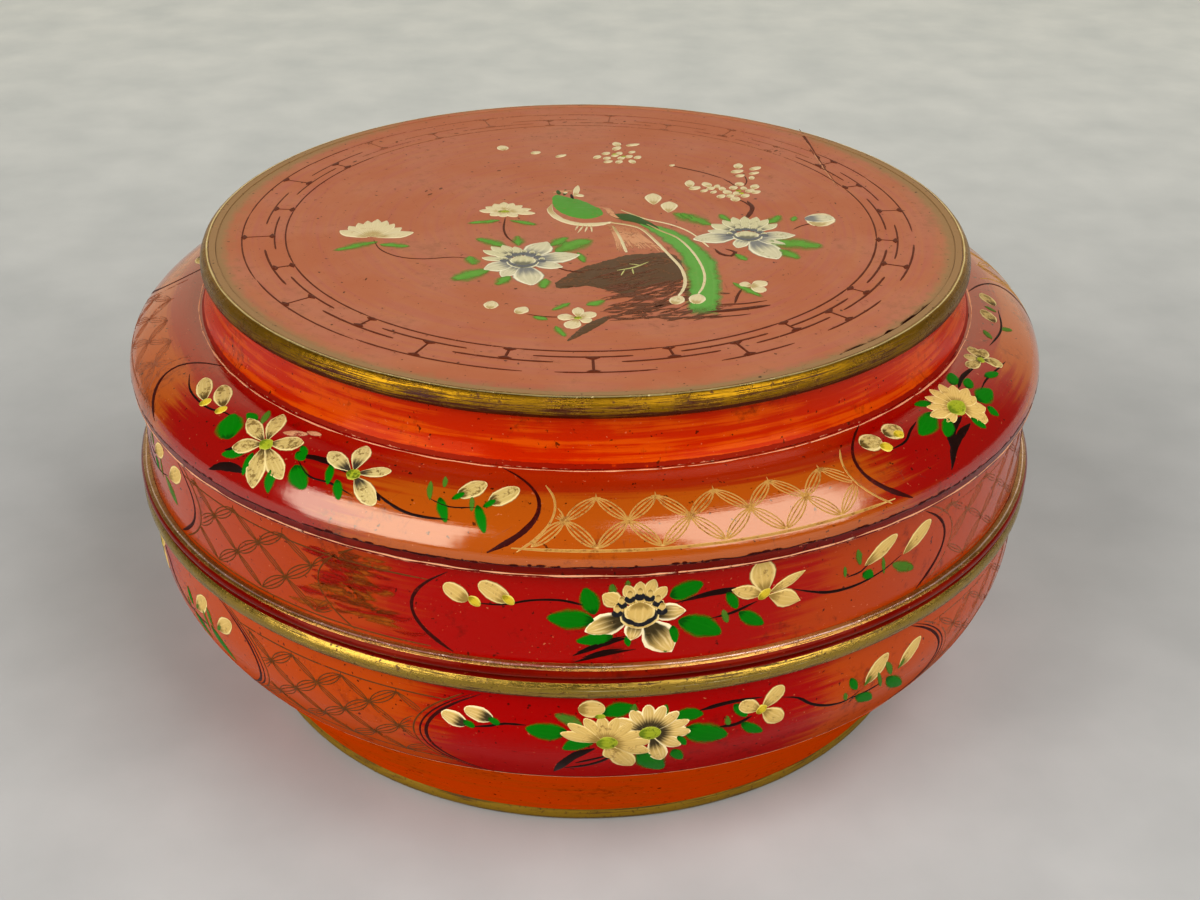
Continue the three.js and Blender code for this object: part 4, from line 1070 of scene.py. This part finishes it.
def spray_of_fan(paint):
    """Shoulder panel with two round buds, a fan flower and a small one."""
    paint.strokes(stem_dark, [([(-51.5, 18), (-49, 17.5), (-47, 14.5), (-45, 12.5)], 1.0),
        ([(-44, 28.5), (-42.6, 24), (-41, 21.5), (-38.6, 20.5)], 2.6, 0.4),
        ([(-45.5, 34.5), (-43.6, 28.5), (-41, 25.5), (-38.4, 24.5)], 2.4, 0.4),
        ([(-34, 11.5), (-32, 9.8), (-30, 9.6), (-27.4, 10.6)], 2.0),
        ([(-31.4, 18), (-29, 17.2), (-26, 18), (-22, 20)], 0.9), ([(-20, 12), (-14, 15), (-8, 14)], 1.0)])
    paint.leaves(leaf_green, [(-41.6, 12.5, -46.6, 18, 9), (-40.6, 18, -43.4, 23.5, 6.4),
        (-40, 9, -42.4, 6, 5), (-34, 9, -31.2, 5, 6.4), (-33, 14, -30.6, 11.5, 5.4), (-34, 20, -30, 21, 9),
        (-37.6, 23, -36.6, 29.6, 4.6), (-33.6, 24, -33, 29.6, 4.6), (-28.4, 16, -25.6, 19.5, 4.4)])
    paint.leaves(faded_green, [(-18, 12, -16, 8, 3.6), (-14, 15, -12.4, 20, 4), (-9, 13, -8, 8, 3.4)])
    paint.spot((-53.2, 12), 9.6, 9.2, old_cream)
    paint.spot((-51.9, 16.2), 5, 4.6, bud_yellow, turn=-30, lift=0.2)
    paint.spot((-49.2, 11.4), 9, 9, old_cream)
    paint.spot((-48.9, 13.6), 4.6, 4.4, bud_yellow, lift=0.2)
    paint.blossom((-37.8, 17), [(-42.6, 13.6), (-41.4, 19, 5.6), (-41.4, 9.5), (-39.6, 5.5), (-37.4, 4),
        (-35.2, 5), (-34, 9), (-33, 14), (-33.6, 18.5), (-35.4, 28, 9), (-34, 24, 7)], 5.4, side_cream,
        gap=0.12, blunt=0.75)
    paint.spot((-37.8, 16.6), 10, 8, heart_yellow, lift=0.22)
    paint.blossom((-24.8, 11.4), [(-28.2, 8.5), (-25.6, 4.8), (-22.4, 5), (-21.8, 10.5), (-23.2, 19.5, 6.5)],
        5.6, old_cream, gap=0.08)
    paint.spot((-24.9, 11.2), 4, 3.6, heart_yellow, lift=0.2)
    for root, tip in (((-12.6, 12), (-9.4, 7)), ((-7, 12.5), (-3.6, 8))):
        paint.dab(root, tip, 6.6, old_cream, blunt=0.5)


shoulder_panels = [(-94.3, spray_of_stars, 0.0), (1.5, spray_of_fan, 0.0), (90.7, spray_of_stars, 185.0),
    (180.7, spray_of_fan, 179.2)]
for (start, after), (stop, spray, shift) in zip(with_next([-153, -57.2, 32, 122]), shoulder_panels):
    shoulder.shift = shift
    spray(shoulder)
    shoulder.shift = 0.0
    for angle, way in ((start, -1), (stop, 1)):
        arc = end_arc(angle, angle - way * 5.5, 2, 38)
        shoulder.line([(arc(d), d) for d in (2.5, 7, 12, 17, 22, 27, 32, 37)],
            [0.8, 1.0, 1.1, 1.4, 1.6, 2.0, 2.2, 1.6], panel_line, taper=0.12)
    # Far to the left the lattice is drawn faint and pale: partly worn, partly painted sheen.
    tone = line_worn_faint_and_sheen if start == 122 else line_gold
    lattice(shoulder, end_arc(stop + 1.2, stop - 3.4, 2, 38), end_arc(after - 1.2, after + 3.4, 2, 38),
        [15.5, 24.6, 34], 6.6, tone, 0.55, ((-1.9, -0.7, 0.7, 1.9), (-1.9, -0.7, 0.7, 1.9)))
    shoulder.line([(turn, 34.8) for turn in (stop - 2.5, (stop + after) / 2, after + 2.5)], 1.1, tone,
        taper=0.1)
# Painted shadow: a dark line round the neck's foot, under the neck.
shoulder.ring(1.1, 0.5, chip_and_shade_dark, waver=0.2)
# Painted highlight: a pale line on the fillet at the neck's foot.
shoulder.ring(2.4, 0.6, rub_pale_and_highlight, waver=0.15)
shoulder.done("lid")

# The shoulder's upright edge is chipped dark along its top. Along its foot a pale line is partly rubbed wear
# and partly painted highlight on that arris.
edge = Painting("shoulder_edge_wear", wall_of([(190, 149.6), (190, 148.4), (189.6, 147.6), (189.6, 144)],
    190.0), (radians(190), -1.0))
edge.ring(0.9, 0.5, chip_and_shade_dark, waver=0.3, lift=0.02)
edge.ring(4.6, 0.6, rub_pale_and_highlight, waver=0.15, lift=0.02)
turn = -180.0
while turn < 180:
    edge.spot((turn, 0.9 + hand.uniform(-0.4, 0.6)), hand.uniform(0.8, 4.5), hand.uniform(0.7, 1.6),
        chip_and_shade_dark, lift=0.03)
    turn += hand.choice((0.5, 0.9, 1.2, 1.6, 4.0))
edge.done("lid")


# The lid's side: one kind of panel, four times, with brown lattice between.
side = Painting("lid_side_painting", wall_of(side_outside, SIDE_R), (radians(SIDE_R), -1.0))


def spray_of_peony(paint):
    """Side panel with a peony, a four-petalled flower and four buds."""
    paint.line([(-101, 14), (-98, 13.6), (-95, 11), (-92, 10.4), (-89.5, 12.2)], [1.0, 0.8, 0.9, 1.0, 2.0],
        stem_dark)
    for root, tip, width in (((-90.6, 33), (-84.4, 25.4), 2.2), ((-90.2, 31.6), (-85.4, 26.6), 1.4),
            ((-89.4, 30.2), (-84.8, 25), 1.0), ((-90.4, 35.6), (-84, 30.8), 1.8),
            ((-89.6, 33.8), (-85.2, 30.4), 1.2)):
        paint.line([root, ((root[0] + tip[0]) / 2, (root[1] + tip[1]) / 2 - 0.9), tip],
            [width * 0.7, width, width * 0.4], stem_dark)
    paint.strokes(stem_dark, [([(-80, 13), (-77.5, 11.4), (-75, 10.6), (-72, 10.6)], [0.8, 1.4, 2.0, 1.4],
        0.2), ([(-78.4, 11.4), (-76, 9.8), (-73.6, 9.6)], 0.7),
        ([(-67, 15), (-64.5, 18.4), (-62, 21), (-58.6, 21.8), (-55, 20.2), (-52, 16.8)],
        [0.8, 1.1, 1.3, 1.1, 0.8, 0.6]), ([(-76.2, 21), (-73.6, 19.8), (-71, 17)], [0.7, 1.2, 1.0]),
        ([(-60, 17), (-58, 16.6), (-56.8, 13.6)], 0.8)])
    paint.leaves(leaf_green, [(-88.4, 16, -89.4, 5, 8), (-88.4, 18.5, -93.4, 17.6, 10),
        (-86.4, 25, -90.4, 27, 6), (-80.6, 10, -77, 6, 8.5), (-79.6, 20, -74.8, 28, 10),
        (-81.4, 27, -80.8, 33, 4.4), (-80.2, 22, -79.8, 29.4, 4.4), (-74.4, 11, -73.2, 18.8, 4.8),
        (-73, 20, -70, 27.4, 6), (-85, 25, -84.8, 29.6, 3), (-57.8, 17.6, -56.2, 21, 5)])
    paint.leaves(faded_green, [(-86.4, 8, -86.6, 3.6, 3.6), (-85, 5.4, -85, 2.4, 2.8),
        (-74.8, 18, -74.2, 24, 3.2), (-58.8, 6.6, -58.2, 14, 3.6), (-60.4, 12, -60.2, 17, 2.2),
        (-55, 14, -54.6, 22, 2.4), (-53.4, 19, -49.6, 26, 6)])
    for bud, calyx in (((-101.6, 13.4, -104.2, 8.2, 7.4), (-100.9, 13.4)),
            ((-97.2, 12, -100.4, 5.6, 8), (-97.3, 11.4))):
        paint.dab(bud[:2], bud[2:4], bud[4], side_cream, blunt=0.5)
        paint.spot(calyx, 5, 3.8, bud_yellow, turn=-40, lift=0.2)
    peony(paint, (-83.7, 16), [(-87.6, 8, 7), (-86.4, 12.5, 5), (-85.2, 4.4), (-83.7, 3.2), (-82.2, 2.6),
        (-80.9, 6), (-85, 8.4, 4.2), (-83.6, 8, 4.2), (-82.2, 8.2, 4.2), (-81.2, 11.6, 4.4)],
        [(-89.4, 23, 9.5), (-78.8, 16.5, 7.5), (-80.2, 33, 12), (-84.6, 27, 7)], (13.0, 8.6), side_peony,
        side_cream, shadow_paint)
    paint.blossom((-70, 15), [(-74, 10.4, 6.2), (-65.4, 8.6, 4.6), (-65.8, 20.8, 7.8)], 7, side_cream,
        blunt=1.05, belly=0.52, gap=0.05)
    paint.blossom((-70, 15), [(-70.8, 0.6, 10.5)], 7, side_cream, blunt=0.6, gap=0.05)
    paint.spot((-70.2, 14.6), 5.4, 4, bud_yellow, turn=40, lift=0.22)
    paint.dab((-57.6, 14.8), (-53, 7), 6.8, side_cream, belly=0.55)
    paint.dab((-51.8, 17), (-47.4, 8), 7.6, side_cream, belly=0.58)


FIRST_SIDE, SIDE_WIDE = -107.9, 63.5
for index, (start, after) in enumerate(with_next([FIRST_SIDE, -18.0, 72.0, 155.7])):
    stop = start + SIDE_WIDE
    side.shift = start - FIRST_SIDE
    spray_of_peony(side)
    side.shift = 0.0
    for angle, way in ((start, -1), (stop, 1)):
        arc = end_arc(angle, angle - way * 4.2, 3, 35)
        side.line([(arc(d), d) for d in (3, 8, 13, 18, 23, 28, 33, 35.6)],
            [0.8, 1.0, 1.4, 1.4, 1.5, 1.6, 2.0, 1.6], panel_line, taper=0.2)
    # Painted reflection: the lattice on the right is drawn faint and pale, as if washed out by the pale sheen
    # at that low angle.
    tone = line_worn_faint_and_sheen if index == 0 else line_umber
    rubbed = 11 if index == 3 else 1
    lattice(side, end_arc(stop + 1, stop - 3.2, 3, 35), end_arc(after - rubbed, after + 4.2 - rubbed, 3, 35),
        [6, 14.5, 24, 33.6], 8.0, tone, 0.5, ((-1.1, 0.0, 1.1), (-2.1, -0.8, 0.8, 2.1)))
    for depth in (7.4, 34.8):
        side.line([(turn, depth) for turn in (stop - 2, (stop + after) / 2, after + 2)], 0.7, tone, taper=0.1)
# The lattice has been rubbed away beside the front panel, and dirt lies in the worn lacquer.
for _ in range(70):
    turn, depth = hand.gauss(-117.5, 2.6), hand.uniform(4, 32)
    side.line([(turn, depth), (turn + 2, depth + hand.uniform(-1, 1)),
        (turn + hand.uniform(3, 5), depth + hand.uniform(-2, 2))], hand.uniform(2.5, 6.0),
        hand.choice((worn_umber, worn_amber, left_red, left_red)), lift=0.02, taper=0.5)
# Painted shadow: a dark line along the side's top, under the shoulder's overhanging lip.
side.ring(0.7, 0.6, chip_and_shade_dark, waver=0.2)
side.done("lid")


# The bowl's wall: one kind of panel, four times, over a plain orange foot band.
bowl = Painting("bowl_painting", wall_of(bowl_outside, BOWL_R), (radians(BOWL_R), -1.0))


def spray_of_daisies(paint):
    """Bowl panel with two daisies, a three-petalled flower and five buds."""
    paint.strokes(stem_dark, [([(-101.5, 25), (-99.5, 23.6), (-98, 22), (-95.6, 21.8)], 1.1),
        ([(-92.8, 48.5), (-91.6, 41), (-90.2, 35.5), (-88.2, 32)], 3.0, 0.4),
        ([(-91.6, 45), (-89.4, 43), (-87.6, 40), (-86.2, 36)], 1.7),
        ([(-90.4, 41), (-88.6, 38.6), (-86.6, 36)], 1.3),
        ([(-77, 17.8), (-74.4, 16.4), (-72, 16.2), (-69.6, 17)], [2.0, 1.8, 1.3, 0.9], 0.1),
        ([(-67.4, 19), (-65.2, 21.6), (-63.4, 26.4), (-61, 30.2), (-58.4, 31.6), (-56.4, 29)],
        [0.7, 1.1, 1.3, 1.2, 0.9, 0.6]), ([(-58, 31.2), (-55.4, 31.4), (-53, 30.4)], 0.9),
        ([(-74.6, 26.6), (-72.6, 26.8), (-70.8, 24.4)], 1.6)])
    paint.leaves(leaf_green, [(-91.2, 24, -95.8, 23.2, 9.6), (-88.2, 27, -91.8, 32.5, 8),
        (-87.6, 15.8, -83.8, 13.2, 7.4), (-81.2, 20, -80.6, 13, 4.2), (-79.8, 19, -76.4, 19.4, 7.2),
        (-78.6, 25, -73.4, 31.8, 11.5), (-83.4, 34, -80.4, 50, 11.5), (-79.6, 35, -78.4, 42.6, 5.6),
        (-79.2, 28, -78.2, 33.4, 4), (-73, 17.4, -71.4, 24.4, 5), (-72, 26.6, -69.2, 34, 5.6),
        (-58.2, 21, -57, 28, 4.2), (-57, 31, -53.8, 38.8, 6.4), (-52.4, 29, -48.4, 41, 6.8)])
    paint.leaves(faded_green, [(-89.6, 21, -92.6, 16, 6), (-84.2, 17, -84, 11.6, 3.6),
        (-73.8, 22, -73.4, 27, 3), (-58.8, 27, -58.4, 31.4, 2.8), (-52.8, 21, -51.6, 29, 3.8),
        (-54, 24, -53, 33, 2.6)])
    for bud, calyx in (((-102.2, 24.6, -105, 20.6, 7), (-101.9, 24)),
            ((-99.2, 20.6, -102.4, 17.4, 7), (-99.1, 21.2))):
        paint.dab(bud[:2], bud[2:4], bud[4], side_shaded, blunt=0.5)
        paint.spot(calyx, 4.8, 3.6, leaf_green, turn=-30, lift=0.2)
    paint.spot((-88.6, 13.6), 9.6, 8.4, side_cream)
    paint.spot((-87.7, 17), 3.8, 2.6, heart_yellow, lift=0.2)
    paint.blossom((-82.3, 25.5), [(-86, 18.4, 5), (-84.4, 14.6, 5.2), (-82.6, 12.6, 5.2), (-80.8, 13.6, 5.2),
        (-79.2, 17, 5), (-78, 21.4, 5), (-77.8, 26.5, 5.6), (-78.8, 33, 6.4), (-80.8, 41, 7.4)], 6,
        side_shaded, gap=0.12)
    paint.spot((-82.3, 25.4), 8, 7, heart_yellow, lift=0.22)
    paint.blossom((-87, 29.2), [(-92, 24.4, 5), (-91.2, 20, 5), (-89.4, 17.6, 5), (-87.6, 16.6, 5),
        (-85.8, 17.6, 5), (-84.2, 20.4, 5), (-83, 24.6, 5), (-82.2, 29.6, 5.4), (-82.2, 35, 6),
        (-84, 43.8, 9.4), (-86.2, 38, 6.4)], 5.4, side_cream, gap=0.1, lift=0.17, blunt=0.65)
    paint.spot((-86.9, 29.2), 7.8, 7, heart_yellow, lift=0.25)
    paint.blossom((-69.7, 22.4), [(-72.4, 17.8, 6.8), (-67.2, 13.8, 7.2), (-67, 30, 7.8)], 7, side_cream,
        gap=0.04)
    paint.spot((-69.7, 22.4), 4.6, 4, bud_yellow, turn=35, lift=0.2)
    for root, tip, width in (((-55.8, 27), (-52.6, 17), 8), ((-50.4, 27), (-47, 18), 7.6)):
        paint.dab(root, tip, width, side_cream)
        paint.leaves(faded_green, [(root[0] - 0.2, root[1] + 0.6, root[0] + 0.8, root[1] - 3, 2.4)],
            lift=0.18)


FIRST_BOWL, BOWL_WIDE = -107.0, 64.4
for index, (start, after) in enumerate(with_next([FIRST_BOWL, -17.0, 75.0, 165.2])):
    stop = start + BOWL_WIDE
    bowl.shift = start - FIRST_BOWL
    spray_of_daisies(bowl)
    bowl.shift = 0.0
    for angle, way in ((start, -1), (stop, 1)):
        for gap, width in ((0.0, 1.1), (0.9, 0.6)):
            arc = end_arc(angle + way * gap * 0.8, angle - way * (6.5 - gap * 0.8), 10, 54)
            bowl.line([(arc(d), d) for d in (10, 15, 21, 27, 33, 39, 45, 50, 53.5)], width, panel_line,
                swell=0.3, taper=0.3)
    # Painted reflection: the lattice on the right is drawn faint and pale, as if washed out by the pale sheen
    # at that low angle.
    tone = line_worn_faint_and_sheen if index == 0 else line_umber
    lattice(bowl, end_arc(stop + 1, stop - 5.5, 10, 54), end_arc(after - 1, after + 5.5, 10, 54),
        [16, 24, 32, 40, 47], 7.0, tone, 0.5, ((-1.1, 0.0, 1.1), (-2.1, -0.8, 0.8, 2.1)))
    for depth in (14.6, 47.6):
        bowl.line([(turn, depth) for turn in (stop - 3, (stop + after) / 2, after + 3)], 0.7, tone, taper=0.1)
bowl.ring(54.2, 0.45, panel_line)
bowl.ring(54.9, 0.3, rub_pale_and_highlight)
bowl.done("base")


# ---------------------------------------------------------------- pieces kept from the frame

for name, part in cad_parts.items():
    if "_pin_" in name or name.startswith("floor_board"):
        part.data.materials.clear()
        part.data.materials.append(bare_bamboo if "_pin_" in name else inside_lacquer)


# ---------------------------------------------------------------- floor, light and camera

def studio_floor(name):
    """A pale matt floor with a faint mottle. It is painted lighter far behind the box, as painted light."""
    material, tree = bare_finish(name)
    where = add(tree, "TexCoord", output="Object")
    mottle = add(tree, "TexNoise", {"Vector": where, "Scale": 1 / (60 * MM), "Detail": 5.0})
    cloudy = add(tree, "MapRange", [mottle, 0.3, 0.7])
    back = add(tree, "MapRange", [add(tree, "SeparateXYZ", [where], "Y"), 0.1, 1.5])
    near = add(tree, "Mix", {0: cloudy, 6: colour("#A7AAAB"), 7: colour("#B1B4B5")}, 2, data_type="RGBA")
    # Painted light: the floor's colour grows lighter towards the back.
    far_painted_lighter = add(tree, "Mix", {0: cloudy, 6: colour("#DEE4DE"), 7: colour("#F0F4EC")}, 2, data_type="RGBA")
    shader = add(tree, "BsdfPrincipled", {
        "Base Color": add(tree, "Mix", {0: back, 6: near, 7: far_painted_lighter}, 2, data_type="RGBA"),
        "Roughness": 0.9, "Specular IOR Level": 0.1})
    add(tree, "OutputMaterial", [shader])
    return material


FLOOR, SIDES = 2.4, 90
floor_round = [(FLOOR * cos(2 * pi * s / SIDES), FLOOR * sin(2 * pi * s / SIDES), 0)
               for s in range(SIDES)]
floor = placed("studio_floor", floor_round, [range(SIDES)], [studio_floor("pale_cloth_floor")])
floor.location.z = -0.2 * MM


def softbox(name, turn, rise, distance, size, power, tone="#FFFFFF", roll=0.0):
    """A flat lamp aimed at the box's middle, from a turn and a rise in degrees, rolled about its aim."""
    lamp = bpy.data.lights.new(name, "AREA")
    lamp.shape, lamp.size, lamp.size_y, lamp.energy = "RECTANGLE", size[0], size[1], power
    lamp.color = colour(tone)[:3]
    holder = bpy.data.objects.new(name, lamp)
    holder.visible_camera = False
    a, e = radians(turn), radians(rise)
    away = Vector((cos(a) * cos(e), sin(a) * cos(e), sin(e)))
    holder.location = away * distance + Vector((0, 0, 0.1))
    holder.rotation_euler = away.to_track_quat("Z", "Y").to_euler()
    holder.rotation_euler.rotate_axis("Z", radians(roll))
    bpy.context.scene.collection.objects.link(holder)


softbox("window_left", -141, 28, 3.0, (2.1, 2.9), 104, "#FFFBF6", roll=14)
softbox("window_right", -40, 42, 3.0, (2.1, 3.6), 112, "#FFFBF6", roll=-14)

world = bpy.data.worlds.new("pale_studio")
bpy.context.scene.world = world
world.use_nodes = True
tree = world.node_tree
tree.nodes.clear()
upward = add(tree, "SeparateXYZ", [add(tree, "TexCoord", output="Generated")], "Z")
back_wall = add(tree, "MapRange", [upward.node.outputs["Y"], 0.45, 1.0, 0.07, 1.0], **EASED)
low_down = add(tree, "MapRange", [upward, 0.45, 1.0, 1.0, 0.4], **EASED)
wall_light = add(tree, "Math", [back_wall, low_down], operation="MULTIPLY")
# Seen past the floor, from any side, the room is a plain pale tone, which lights nothing.
seen = add(tree, "LightPath", output="Is Camera Ray")
wall_light = add(tree, "Mix", {0: seen, 2: wall_light, 3: 0.6})
add(tree, "OutputWorld", [add(tree, "Background", [colour("#FAE8CC"), wall_light])])

# The camera is 727 mm from the box's middle, 30 degrees above it, tipped by half a degree.
FOCAL_PIXELS, PICTURE_WIDE, SENSOR = 1614, 1200, 36
DISTANCE, RISE, ROLL = 0.7272, radians(30.03), radians(0.56)
camera_data = bpy.data.cameras.new("camera")
camera_data.sensor_width, camera_data.sensor_fit = SENSOR, "HORIZONTAL"
camera_data.lens = FOCAL_PIXELS * SENSOR / PICTURE_WIDE
camera_data.clip_start, camera_data.clip_end = 0.01, 50
camera = bpy.data.objects.new("camera", camera_data)
aim = Vector((0.0066, 0, 0.0837))
towards = Vector((0, -cos(RISE), sin(RISE)))
camera.location = aim + towards * DISTANCE
camera.rotation_euler = (pi / 2 - RISE, 0, 0)
camera.rotation_euler.rotate_axis("Z", ROLL)
bpy.context.scene.collection.objects.link(camera)
bpy.context.scene.camera = camera
bpy.context.scene.view_settings.view_transform = "Standard"
